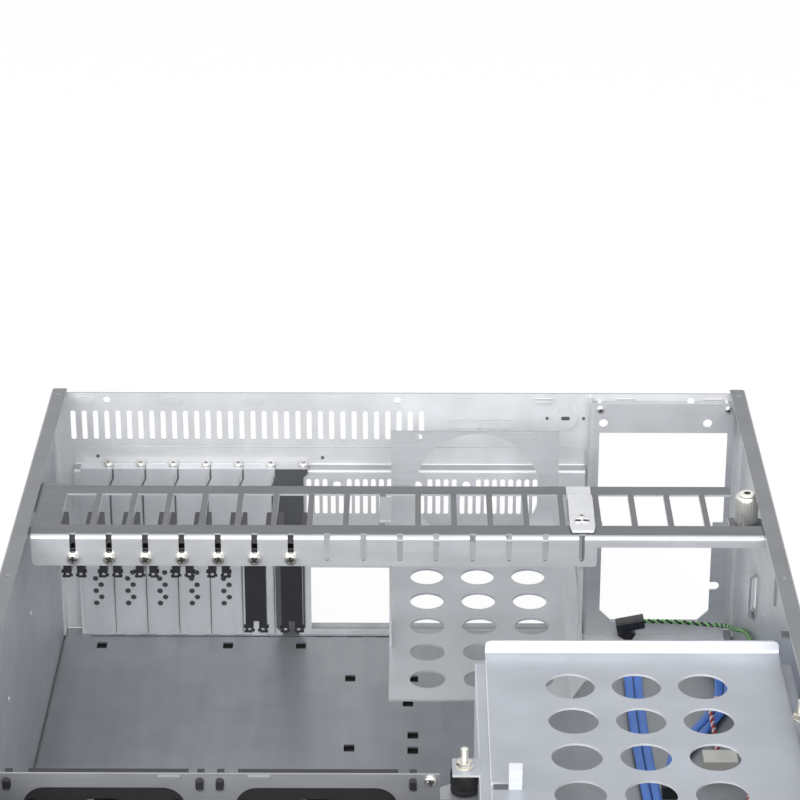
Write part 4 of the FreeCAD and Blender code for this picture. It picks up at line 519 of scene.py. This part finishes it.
def bevelled_block(bm, low, high, rim, material=0):
    """Add a box between two corners, with its edges softened by a small rim."""
    part = bmesh.new()
    made = bmesh.ops.create_cube(part, size=1)
    for vert in made["verts"]:
        vert.co = Vector(c * s for c, s in zip(vert.co, high - low)) + (low + high) / 2
    bmesh.ops.bevel(part, geom=list(part.edges), offset=rim, segments=2, profile=0.7,
                    affect="EDGES")
    copies = {vert: bm.verts.new(vert.co) for vert in part.verts}
    for face in part.faces:
        bm.faces.new([copies[vert] for vert in face.verts]).material_index = material
    part.free()


# The bar's dark top tone is a painted reflection; its folded flange keeps the bright tone.
bar_steel = sheet_steel("bar_steel", (0.75, 0.765, 0.79), 0.3, 0.5, lines=(1, 9, 9),
                        top=(0.165, 0.17, 0.18))
low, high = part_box("hold_down_bar")
bar_top = high.z
PITCH = 0.02032
SHEET = 0.0012
BEND, BEND_STEPS = 0.0032, 6
FLANGE, SHORT_FLANGE = 0.0192, 0.0071
SHORT_START = 0.1123
CORNER_RADIUS = 0.0028
WINDOW_COUNT, SLOT_COUNT = 18, 15
WINDOW_FIRST, WINDOW_HALF = -0.1808, 0.00855
WINDOW_BACK, WINDOW_FORWARD = 0.0105, 0.0502
ROLLED = 0.0026
SLOT_HALF, SLOT_DROP, SLOT_MOUTH = 0.0017, 0.0158, 0.0004
KNOB_ROOM, KNOB_HEIGHT, TAB_RIM = 0.1918, 0.02, 0.0002
TINY = 1e-5
flat = high.y - low.y - BEND
bend_run = BEND * math.pi / 2
folded = flat + bend_run - BEND
flange_end, short_end = folded + FLANGE, folded + SHORT_FLANGE
bm = bmesh.new()


def loop_edges(points):
    """The edges of one closed outline on the unfolded sheet."""
    verts = [bm.verts.new((u, v, 0)) for u, v in points]
    return [bm.edges.new((a, b)) for a, b in zip(verts, verts[1:] + verts[:1])]


def flange_corner(u, first):
    """Points of a quarter round at the flange's lower edge, from a start angle in degrees."""
    v = flange_end - CORNER_RADIUS
    return [(u + CORNER_RADIUS * math.cos(math.radians(first + 18 * k)),
             v + CORNER_RADIUS * math.sin(math.radians(first + 18 * k))) for k in range(6)]


last_window = WINDOW_FIRST + PITCH * WINDOW_COUNT - WINDOW_HALF
edges = loop_edges(
    [(low.x, 0), (KNOB_ROOM, 0), (KNOB_ROOM, WINDOW_BACK), (last_window, WINDOW_BACK),
     (last_window, WINDOW_FORWARD), (high.x, WINDOW_FORWARD), (high.x, short_end),
     (SHORT_START, short_end)]
    + flange_corner(SHORT_START - CORNER_RADIUS, 0)
    + flange_corner(low.x + CORNER_RADIUS, 90))
for number in range(WINDOW_COUNT):
    u = WINDOW_FIRST + PITCH * number
    edges += loop_edges([(u - WINDOW_HALF, WINDOW_BACK), (u - WINDOW_HALF, WINDOW_FORWARD),
                         (u + WINDOW_HALF, WINDOW_FORWARD), (u + WINDOW_HALF, WINDOW_BACK)])
slot_mouth, slot_end = flat + SLOT_MOUTH, folded + SLOT_DROP - SLOT_HALF
for number in range(SLOT_COUNT):
    u = WINDOW_FIRST + PITCH * number
    half_round = [math.pi * k / 8 for k in range(9)]
    edges += loop_edges(
        [(u + SLOT_HALF, slot_mouth), (u - SLOT_HALF, slot_mouth)]
        + [(u - SLOT_HALF * math.cos(turn), slot_end + SLOT_HALF * math.sin(turn))
           for turn in half_round])
bmesh.ops.triangle_fill(bm, edges=edges, use_beauty=True, normal=(0, 0, 1))
for k in range(BEND_STEPS + 1):
    bmesh.ops.bisect_plane(bm, geom=list(bm.verts) + list(bm.edges) + list(bm.faces),
                           plane_co=(0, flat + bend_run * k / BEND_STEPS, 0),
                           plane_no=(0, 1, 0))
window_sides = []
for edge in bm.edges:
    first, last = (vert.co for vert in edge.verts)
    beside_window = all(WINDOW_BACK - TINY < end.y < WINDOW_FORWARD + TINY
                        for end in (first, last))
    if edge.is_boundary and beside_window and abs(first.x - last.x) < TINY:
        window_sides.append(edge)
for vert in bm.verts:
    u, v, _ = vert.co
    if v <= flat:
        vert.co = (u, high.y - v, bar_top)
    elif v <= flat + bend_run:
        turn = (v - flat) / BEND
        vert.co = (u, high.y - flat - BEND * math.sin(turn),
                   bar_top - BEND * (1 - math.cos(turn)))
    else:
        vert.co = (u, low.y, bar_top - (v - folded))
rolled = bmesh.ops.extrude_edge_only(bm, edges=window_sides)
for vert in {v for v in rolled["geom"] if isinstance(v, bmesh.types.BMVert)}:
    vert.co.z -= ROLLED
mesh = bpy.data.meshes.new("hold_down_bar_folded")
bmesh.ops.recalc_face_normals(bm, faces=bm.faces)
if sum(f.normal.z * f.calc_area() for f in bm.faces) < 0:
    bmesh.ops.reverse_faces(bm, faces=bm.faces)
bm.to_mesh(mesh)
bm.free()
mesh.materials.append(bar_steel)
bar = bpy.data.objects.new("hold_down_bar_folded", mesh)
bpy.context.collection.objects.link(bar)
thicken = bar.modifiers.new("sheet", "SOLIDIFY")
thicken.thickness = SHEET
thicken.offset = -1
mesh.shade_smooth()
crease = bar.modifiers.new("crease", "EDGE_SPLIT")
crease.split_angle = CREASE_ANGLE
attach(bar, "case")
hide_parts("hold_down_bar")
bm = bmesh.new()
tab_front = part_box("bar_thumbscrew")[0].y - SHEET
tab_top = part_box("bar_thumbscrew")[1].z - KNOB_HEIGHT
bevelled_block(bm, Vector((KNOB_ROOM, tab_front, tab_top - SHEET)),
               Vector((high.x, high.y, tab_top)), TAB_RIM)
mesh_piece("hold_down_bar_tab", bm, "case", bar_steel)

# Slot covers. Stamped strips of bright steel close the card slots; the last is painted dark. The
# first six are pierced by a zigzag of small round holes, drawn as shallow dishes filled with
# painted shade, and between two covers runs a narrow gap, which jogs aside under the ears; its
# shade is painted as a dark strip.
PIERCED_COVERS = range(1, 7)
cover_bright = sheet_steel("cover_steel", (0.66, 0.68, 0.705), 0.4, 0.2, lines=(6, 1, 1),
                           top=(0.62, 0.635, 0.66))
dress(cover_bright, *[f"slot_cover_{n}" for n in PIERCED_COVERS])
# The dark paint's lighter top tone is a painted reflection.
dress(sheet_steel("dark_cover_paint", (0.115, 0.118, 0.128), 0.5, 0.2,
                  top=(0.5, 0.51, 0.53)), "slot_cover_7")
COVER_HALF, COVER_FRONT = 0.0093, 0.011
AXIS_X, AXIS_Y, AXIS_Z = Vector((1, 0, 0)), Vector((0, 1, 0)), Vector((0, 0, 1))
HOLE_RADIUS, HOLE_SINK, HOLE_SIDES = 0.00175, 0.0004, 20
HOLE_COUNT, HOLE_FIRST, HOLE_STEP, HOLE_STAGGER = 6, 0.0251, 0.0044, 0.0017
HOLE_DISH = ((1, 0), (0.8, 0.00008), (0.4, 0.00016))
hole_shadow = plastic("hole_shadow", (0.055, 0.06, 0.07), 0.6)


def turned_ring(bm, seat, across, over, out, radius, height, sides, turn=0.0):
    """A ring of points round an axis that leaves seat along out."""
    turns = [turn + math.tau * k / sides for k in range(sides)]
    return [bm.verts.new(seat + out * height + across * radius * math.cos(angle)
                         + over * radius * math.sin(angle)) for angle in turns]


def skin(bm, rings, material=0):
    """Faces between each ring and the next."""
    for before, after in zip(rings, rings[1:]):
        count = len(before)
        for k in range(count):
            face = bm.faces.new((before[k], before[(k + 1) % count],
                                 after[(k + 1) % count], after[k]))
            face.material_index = material


# The dark dishes are painted shade in the holes.
bm = bmesh.new()
for number in PIERCED_COVERS:
    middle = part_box(f"slot_cover_{number}")[0].x + COVER_HALF
    for step in range(HOLE_COUNT):
        side = -1 if step % 2 == 0 else 1
        centre = Vector((middle + HOLE_STAGGER * side, rear - COVER_FRONT + HOLE_SINK,
                         HOLE_FIRST + HOLE_STEP * step))
        rings = [turned_ring(bm, centre, AXIS_X, AXIS_Z, AXIS_Y, HOLE_RADIUS * share, sink,
                             HOLE_SIDES) for share, sink in HOLE_DISH]
        skin(bm, rings)
        bm.faces.new(rings[-1])
mesh_piece("cover_hole_shade", bm, "case", hole_shadow)
# Strips of painted shade along the gaps between the covers, laid just in front of the cover faces.
EAR_GAP, STRIP_GAP, GAP_LIFT = 0.01236, 0.01016, 0.00008
GAP_ROWS = ((EAR_GAP, 0.1196, 0.0005), (EAR_GAP, 0.1135, 0.0006),
            (STRIP_GAP, 0.1085, 0.0004), (STRIP_GAP, 0.0035, 0.0002))
bm = bmesh.new()
for number in PIERCED_COVERS:
    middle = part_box(f"slot_cover_{number}")[0].x + COVER_HALF
    face = rear - COVER_FRONT - GAP_LIFT
    rows = [[bm.verts.new((middle + shift + side * half, face, level)) for side in (-1, 1)]
            for shift, level, half in GAP_ROWS]
    for before, after in zip(rows, rows[1:]):
        bm.faces.new((before[0], before[1], after[1], after[0]))
mesh_piece("cover_gap_shade", bm, "case", plastic("gap_shadow", (0.11, 0.12, 0.135), 0.6))

# Card clips. Black moulded arms that press the cards down, each held to the bar by its own
# screw. Their forked feet carry small claws and pale latch windows.
clip_black = plastic("clip_black", (0.022, 0.022, 0.025), 0.36, grain=700)
dress(clip_black, *[f"card_clip_{n}" for n in range(1, 8)])
clip_pale = plastic("clip_pale", (0.3, 0.31, 0.33), 0.5)
LOBE_IN, LOBE_OUT = 0.0016, 0.006
CLAW_FRONT, CLAW_DEPTH, CLAW_RIM = 0.0, 0.0016, 0.0002
LATCH_FRONT, LATCH_DEPTH, LATCH_RIM = -0.0001, 0.0004, 0.0001
FOOT_PARTS = (
    (LOBE_OUT - 0.0004, LOBE_OUT + 0.0011, 0.0028, 0.0046, CLAW_FRONT, CLAW_DEPTH, CLAW_RIM, 0),
    (LOBE_OUT - 0.0004, LOBE_OUT + 0.0007, 0.0001, 0.0012, CLAW_FRONT, CLAW_DEPTH, CLAW_RIM, 0),
    (LOBE_IN - 0.0007, LOBE_IN + 0.0004, 0.0006, 0.0018, CLAW_FRONT, CLAW_DEPTH, CLAW_RIM, 0),
    (LOBE_IN + 0.0013, LOBE_OUT - 0.0014, 0.0016, 0.0029, LATCH_FRONT, LATCH_DEPTH, LATCH_RIM, 1))
for number in range(1, 8):
    low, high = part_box(f"card_clip_{number}")
    middle = (low.x + high.x) / 2
    bm = bmesh.new()
    for side in (-1, 1):
        for near, far, bottom, top, front, depth, rim, material in FOOT_PARTS:
            start, end = sorted((middle + side * near, middle + side * far))
            bevelled_block(bm, Vector((start, low.y + front, low.z + bottom)),
                           Vector((end, low.y + depth, low.z + top)), rim, material)
    mesh_piece(f"clip_claws_{number}", bm, f"clip_{number}", clip_black, clip_pale)

# Screws. Nickel-plated pan heads with a cross recess: each is turned, its recess is punched,
# and those of the card clips have a square nut behind.


def plated(name, colour, roughness, scale=300):
    """Bright plating with a faint cloudiness."""
    made, tree, shader = new_material(name)
    tone, _ = noise_shade(tree, scale, tinted(colour, 0.92), tinted(colour, 1.06))
    tree.links.new(tone, shader.inputs["Base Color"])
    shader.inputs["Metallic"].default_value = 0.9
    rough, _ = noise_shade(tree, scale * 1.5, (roughness * 0.8,) * 3, (roughness * 1.2,) * 3)
    tree.links.new(rough, shader.inputs["Roughness"])
    return made


nickel = plated("nickel_plate", (0.82, 0.8, 0.76), 0.22)
recess_shade = plastic("recess_shade", (0.05, 0.045, 0.038), 0.5)
HEAD_SIDES = 28
CROSS_REACH, CROSS_HALF = 0.52, 0.13
HEAD_PROFILE = ((1.0, 0.0), (1.0, 0.42), (0.95, 0.62), (0.84, 0.82), (0.68, 0.95), (0.62, 1.0))


def screw(bm, seat, out, radius, height, shank, length, turn=0.0):
    """A pan-head screw whose head stands on seat along out; its shank goes the other way."""
    out = Vector(out)
    over = out.cross(AXIS_X)
    rings = [turned_ring(bm, seat, AXIS_X, over, out, shank, level, HEAD_SIDES)
             for level in (-length, 0)]
    rings += [turned_ring(bm, seat, AXIS_X, over, out, radius * wide, height * tall, HEAD_SIDES)
              for wide, tall in HEAD_PROFILE]
    bm.faces.new(rings[0])
    skin(bm, rings)
    arm, half = radius * CROSS_REACH, radius * CROSS_HALF
    cross = [(half, half), (arm, half), (arm, -half), (half, -half), (half, -arm), (-half, -arm),
             (-half, -half), (-arm, -half), (-arm, half), (-half, half), (-half, arm),
             (half, arm)]
    levels = []
    for share, depth in ((1.0, 0.0), (0.7, 0.45)):
        levels.append([bm.verts.new(
            seat + out * height * (1 - depth)
            + (AXIS_X * math.cos(turn) + over * math.sin(turn)) * u * share
            + (over * math.cos(turn) - AXIS_X * math.sin(turn)) * v * share)
            for u, v in cross])
    skin(bm, levels, 1)
    bm.faces.new(levels[1]).material_index = 1
    loops = []
    for ring in (rings[-1], levels[0]):
        for k in range(len(ring)):
            found = bm.edges.get((ring[k], ring[(k + 1) % len(ring)]))
            loops.append(found or bm.edges.new((ring[k], ring[(k + 1) % len(ring)])))
    bmesh.ops.triangle_fill(bm, edges=loops, use_beauty=True, normal=out)


SHANK = 0.0014
CLIP_HEAD, CLIP_HEAD_HEIGHT = 0.0038, 0.0032
NUT_HALF, NUT_DEPTH, NUT_RIM = 0.0028, 0.0022, 0.0003
for number in range(1, 8):
    node = f"clip_screw_{number}"
    low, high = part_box(node)
    middle = (low + high) / 2
    bm = bmesh.new()
    screw(bm, Vector((middle.x, low.y + CLIP_HEAD_HEIGHT, middle.z)), (0, -1, 0), CLIP_HEAD,
          CLIP_HEAD_HEIGHT, SHANK, high.y - low.y - CLIP_HEAD_HEIGHT, turn=0.4 + number * 1.1)
    bevelled_block(bm, Vector((middle.x - NUT_HALF, high.y - NUT_DEPTH, middle.z - NUT_HALF)),
                   Vector((middle.x + NUT_HALF, high.y, middle.z + NUT_HALF)), NUT_RIM)
    piece = mesh_piece(f"{node}_plated", bm, nodes[node]["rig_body"], nickel, recess_shade)
    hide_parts(node)
COVER_HEAD, COVER_HEAD_HEIGHT = 0.0032, 0.0022
PLATE_HEAD, PLATE_HEAD_HEIGHT = 0.0024, 0.0016
low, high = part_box("slot_cover_screws")
bm = bmesh.new()
for number in range(7):
    x = low.x + COVER_HEAD + (high.x - low.x - COVER_HEAD * 2) * number / 6
    screw(bm, Vector((x, (low.y + high.y) / 2, high.z - COVER_HEAD_HEIGHT)), (0, 0, 1),
          COVER_HEAD, COVER_HEAD_HEIGHT, SHANK, high.z - low.z - COVER_HEAD_HEIGHT,
          turn=number * 0.7)
piece = mesh_piece("slot_cover_screws_plated", bm, "case", nickel, recess_shade)
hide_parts("slot_cover_screws")
low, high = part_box("psu_plate_screws")
bm = bmesh.new()
for x in (low.x + PLATE_HEAD, high.x - PLATE_HEAD):
    screw(bm, Vector((x, low.y + PLATE_HEAD_HEIGHT, (low.z + high.z) / 2)), (0, -1, 0),
          PLATE_HEAD, PLATE_HEAD_HEIGHT, SHANK, high.y - low.y - PLATE_HEAD_HEIGHT, turn=0.5)
piece = mesh_piece("psu_plate_screws_plated", bm, "case", nickel, recess_shade)
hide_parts("psu_plate_screws")
low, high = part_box("bulkhead_screw")
bm = bmesh.new()
screw(bm, Vector(((low.x + high.x) / 2, low.y + COVER_HEAD_HEIGHT, (low.z + high.z) / 2)),
      (0, -1, 0), COVER_HEAD, COVER_HEAD_HEIGHT, SHANK, high.y - low.y - COVER_HEAD_HEIGHT,
      turn=0.3)
piece = mesh_piece("bulkhead_screw_plated", bm, "case", nickel, recess_shade)
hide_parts("bulkhead_screw")

# Small marks: painted shade in the seams where the floor meets the left wall and the slot frame,
# and rivets on the rear panel and slot frame and the lock's opening with a bolt on each side, dark
# with painted shade.
WALL_INNER, WALL_SEAM_FRONT, WALL_SEAM_REAR = -0.214, -0.09, rear - 0.013
FRAME_FOOT, FRAME_SEAM_LEFT, FRAME_SEAM_RIGHT = rear - 0.0135, -0.196, 0.02
SEAM_LEVEL, SEAM_WIDTH = 0.0026, 0.0008
bm = bmesh.new()
for left, right, front, back in (
        (WALL_INNER, WALL_INNER + SEAM_WIDTH, WALL_SEAM_FRONT, WALL_SEAM_REAR),
        (FRAME_SEAM_LEFT, FRAME_SEAM_RIGHT, FRAME_FOOT, FRAME_FOOT + SEAM_WIDTH)):
    bm.faces.new([bm.verts.new((x, y, SEAM_LEVEL)) for x, y in (
        (left, front), (right, front), (right, back), (left, back))])
mesh_piece("floor_seam_shade", bm, "case", plastic("seam_shade", (0.05, 0.053, 0.06), 0.6))
bm = bmesh.new()
RIVET_RADIUS, RIVET_SIDES = 0.0011, 16
RIVET_DOME = ((1, 0), (0.9, 0.0004), (0.5, 0.0006))
LOCK_MIDDLE, LOCK_LEVEL, LOCK_HALF, LOCK_TALL = 0.104, 0.1508, 0.0028, 0.0014
LOCK_DEPTH, LOCK_RIM = 0.0004, 0.0001
inner_face = rear - 0.0011
frame_face = inner_face - 0.0012
for x, y, z in ((0.0926, inner_face, LOCK_LEVEL), (0.1153, inner_face, LOCK_LEVEL),
                (0.0509, inner_face, 0.1443), (-0.188, frame_face, 0.1247),
                (-0.0474, frame_face, 0.124)):
    rings = [turned_ring(bm, Vector((x, y, z)), AXIS_X, AXIS_Z, -AXIS_Y, RIVET_RADIUS * share,
                         lift, RIVET_SIDES) for share, lift in RIVET_DOME]
    skin(bm, rings)
    bm.faces.new(rings[-1])
bevelled_block(
    bm, Vector((LOCK_MIDDLE - LOCK_HALF, inner_face - LOCK_DEPTH, LOCK_LEVEL - LOCK_TALL)),
    Vector((LOCK_MIDDLE + LOCK_HALF, inner_face, LOCK_LEVEL + LOCK_TALL)), LOCK_RIM)
mesh_piece("rear_rivets", bm, "case", plastic("rivet_shade", (0.09, 0.095, 0.105), 0.5))

# Thumbscrew. Turned from one brass bar and plated: a barrel with straight knurling, a waist at
# each end, a drilled top and a thin threaded shank below.
low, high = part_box("bar_thumbscrew")
seat = Vector(((low.x + high.x) / 2, (low.y + high.y) / 2, high.z))
KNURLS = 26
KNOB_SIDES = KNURLS * 4
KNOB_RADIUS, KNOB_WAIST, KNURL = 0.0068, 0.0049, 0.00028
THREAD_CREST, THREAD_ROOT, THREAD_RINGS = 0.002, 0.0017, 16
DRILLED = 0.0016
KNOB_PROFILE = (
    (0.0019, 0.0, 0), (0.0042, 0.0, 0), (KNOB_WAIST, 0.0007, 0), (KNOB_WAIST, 0.0017, 0),
    (KNOB_RADIUS * 0.94, 0.0025, 0), (KNOB_RADIUS, 0.0034, KNURL), (KNOB_RADIUS, 0.0166, KNURL),
    (KNOB_RADIUS * 0.94, 0.0175, 0), (KNOB_WAIST, 0.0186, 0), (KNOB_WAIST, KNOB_HEIGHT, 0),
    (0.0021, KNOB_HEIGHT, 0))
bm = bmesh.new()
rings = []
for radius, drop, ridge in KNOB_PROFILE:
    ring = []
    for k in range(KNOB_SIDES):
        turn = math.tau * k / KNOB_SIDES
        wide = radius - (ridge if k % 4 in (0, 3) else 0)
        ring.append(bm.verts.new(seat + Vector((wide * math.cos(turn), wide * math.sin(turn),
                                                -drop))))
    rings.append(ring)
thread_length = high.z - low.z - KNOB_HEIGHT
for k in range(THREAD_RINGS + 1):
    drop = KNOB_HEIGHT + thread_length * k / THREAD_RINGS
    rings.append(turned_ring(bm, seat, AXIS_X, AXIS_Y, AXIS_Z,
                             THREAD_CREST if k % 2 else THREAD_ROOT, -drop, KNOB_SIDES))
skin(bm, rings)
bm.faces.new(rings[-1])
drilled_foot = [bm.verts.new(v.co - AXIS_Z * DRILLED) for v in rings[0]]
skin(bm, [drilled_foot, rings[0]], 1)
bm.faces.new(drilled_foot).material_index = 1
knob = mesh_piece("bar_thumbscrew_turned", bm, "thumbscrew",
                  plated("knob_nickel", (0.95, 0.93, 0.88), 0.4, scale=120), recess_shade)
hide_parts("bar_thumbscrew")

# Tray clip: a polished spring strap, arched over a window of the bar. A double dimple is
# pressed beside its screw, and its nose rolls down over the bar's front edge.
low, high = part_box("tray_clip")
STRAP_THICK = 0.001
NOSE_START, NOSE_RUN = 0.9, 0.16
CROWN, CROWN_END = 0.0004, 0.65
length = high.y - low.y
profile = [(0.0, 0.0), (0.03, 0.0), (0.14, 0.0), (0.19, 0.0008), (0.25, 0.0021), (0.33, 0.0032),
           (0.42, 0.0036), (0.5, 0.0036), (0.57, 0.0032), (0.63, 0.0022), (0.68, 0.0014),
           (0.74, 0.0012), (0.82, 0.0012), (0.9, 0.0012), (0.945, 0.0011), (0.975, 0.0006),
           (0.992, 0.0001)]
COLUMNS = 14
bm = bmesh.new()
sheets = []
for drop in (0, STRAP_THICK):
    rows = []
    for share, rise in profile:
        nose = max(0.0, (share - NOSE_START) / NOSE_RUN)
        narrow = math.sqrt(max(0.0, 1 - nose ** 2))
        row = []
        for column in range(COLUMNS + 1):
            u = column / COLUMNS * 2 - 1
            crown = CROWN * (1 - u * u) * math.sin(math.pi * min(1, share / CROWN_END))
            row.append(bm.verts.new((
                (low.x + high.x) / 2 + u * (high.x - low.x) / 2 * narrow,
                high.y - share * length,
                bar_top + STRAP_THICK + rise + crown - drop)))
        rows.append(row)
    for before, after in zip(rows, rows[1:]):
        for column in range(COLUMNS):
            bm.faces.new((before[column], before[column + 1], after[column + 1], after[column]))
    sheets.append(rows)
rims = [[row[0] for row in rows] + rows[-1][1:] + [row[-1] for row in rows[-2::-1]]
        + rows[0][-2:0:-1] for rows in sheets]
skin(bm, rims)
spring = plated("spring_polish", (0.86, 0.87, 0.9), 0.2, scale=25)
strap = mesh_piece("tray_clip_sprung", bm, "case", spring)
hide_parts("tray_clip")
DIMPLE_RADIUS, DIMPLE_REACH, DIMPLE_PLACE, DIMPLE_SIDES = 0.0027, 0.0023, 0.79, 24
bm = bmesh.new()
for side in (-1, 1):
    middle = Vector(((low.x + high.x) / 2 + side * DIMPLE_REACH,
                     high.y - DIMPLE_PLACE * length, bar_top + STRAP_THICK))
    rim, hollow = [[turned_ring(bm, middle, AXIS_X, AXIS_Y, AXIS_Z, DIMPLE_RADIUS * share, level,
                                DIMPLE_SIDES) for share, level in outline]
                   for outline in (((1, 0.001), (0.93, 0.0017), (0.8, 0.0019), (0.66, 0.0016)),
                                   ((0.66, 0.00158), (0.3, 0.0014)))]
    skin(bm, rim)
    skin(bm, hollow, 1)
    bm.faces.new(hollow[-1]).material_index = 1
mesh_piece("tray_clip_dimple", bm, "case", spring, recess_shade)
FLAT_HEAD_HEIGHT = 0.0008
low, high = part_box("tray_clip_screw")
bm = bmesh.new()
screw(bm, Vector(((low.x + high.x) / 2, (low.y + high.y) / 2, high.z - FLAT_HEAD_HEIGHT)),
      (0, 0, 1), PLATE_HEAD, FLAT_HEAD_HEIGHT, SHANK, high.z - low.z - FLAT_HEAD_HEIGHT, turn=0.4)
piece = mesh_piece("tray_clip_screw_plated", bm, "case", nickel, recess_shade)
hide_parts("tray_clip_screw")

# Dampers: black rubber bushes under the drive cage's ears, pulled up by a stud with a washer
# and a hexagon nut.
rubber = plastic("damper_rubber", (0.016, 0.016, 0.017), 0.55, grain=300, depth=0.12)
low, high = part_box("cage_dampers")
stud_low, stud_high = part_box("damper_screws")
DAMPER_RADIUS, STUD_RADIUS = 0.0069, 0.002
NUT_RADIUS, NUT_HEIGHT, WASHER = 0.007 / math.sqrt(3), 0.0034, 0.0006
EAR_THICK = 0.0012
STUD_RINGS, STUD_SIDES, THREAD_SHARE, POINT_SHARE = 40, 20, 0.86, 0.6
BUSH_SIDES = 40
BUSH_PROFILE = (
    (STUD_RADIUS, 0), (0.0055, 0), (0.0064, 0.03), (0.0068, 0.09), (0.0068, 0.2), (0.0065, 0.27),
    (0.0069, 0.34), (0.0069, 0.82), (0.0066, 0.93), (0.006, 0.985), (0.0052, 1), (STUD_RADIUS, 1))
WASHER_PROFILE = (
    (STUD_RADIUS, 0), (0.0042, 0), (0.0044, 0.0001), (0.0044, WASHER * 0.8), (0.0042, WASHER),
    (STUD_RADIUS, WASHER))
NUT_PROFILE = (
    (STUD_RADIUS, WASHER), (NUT_RADIUS * 0.9, WASHER), (NUT_RADIUS, WASHER + 0.0004),
    (NUT_RADIUS, NUT_HEIGHT - 0.0004), (NUT_RADIUS * 0.9, NUT_HEIGHT), (STUD_RADIUS, NUT_HEIGHT))
bushes, metal = bmesh.new(), bmesh.new()
for x, y in ((low.x + DAMPER_RADIUS, low.y + DAMPER_RADIUS),
             (high.x - DAMPER_RADIUS, high.y - DAMPER_RADIUS)):
    foot = Vector((x, y, low.z))
    height = high.z - low.z
    rings = [turned_ring(bushes, foot, AXIS_X, AXIS_Y, AXIS_Z, radius, height * level,
                         BUSH_SIDES) for radius, level in BUSH_PROFILE]
    skin(bushes, rings + rings[:1])
    ear = Vector((x, y, high.z + EAR_THICK))
    for profile, sides, turn in ((WASHER_PROFILE, 32, 0), (NUT_PROFILE, 6, 0.2)):
        rings = [turned_ring(metal, ear, AXIS_X, AXIS_Y, AXIS_Z, radius, level, sides, turn)
                 for radius, level in profile]
        skin(metal, rings + rings[:1])
    reach = stud_high.z - stud_low.z
    threads = [1.0 if k % 2 else THREAD_SHARE for k in range(STUD_RINGS)] + [POINT_SHARE]
    rings = [turned_ring(metal, Vector((x, y, stud_low.z)), AXIS_X, AXIS_Y, AXIS_Z,
                         STUD_RADIUS * share, reach * k / STUD_RINGS, STUD_SIDES)
             for k, share in enumerate(threads)]
    metal.faces.new(rings[0])
    skin(metal, rings)
    metal.faces.new(rings[-1])
piece = mesh_piece("cage_dampers_rubber", bushes, "case", rubber)
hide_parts("cage_dampers")
piece = mesh_piece("damper_studs", metal, "case", plated("stud_plate", (0.8, 0.78, 0.7), 0.25))
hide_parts("damper_screws")

# Fans: two black moulded frames and their bladed rotors, clipped to the bulkhead by hooked
# carriers of the same plastic.
fan_black = plastic("fan_black", (0.02, 0.02, 0.022), 0.38, grain=500)
dress(fan_black, "fan_carriers", "fan_frame_1", "fan_frame_2", "fan_rotor_1", "fan_rotor_2")

# Front: a thick panel with its handles and bay blanks, all powder-coated black, two glossy
# push buttons and the lenses of the status lights.
front_paint = plastic("powder_coat", (0.03, 0.031, 0.034), 0.5, grain=1400, depth=0.25)
dress(front_paint, "front_panel", "rack_handle_left", "rack_handle_right", "bay_blanks")
dress(plastic("button_black", (0.05, 0.05, 0.053), 0.3), "power_button", "reset_button")
dress(plastic("light_lens", (0.35, 0.6, 0.4), 0.2), "status_lights")
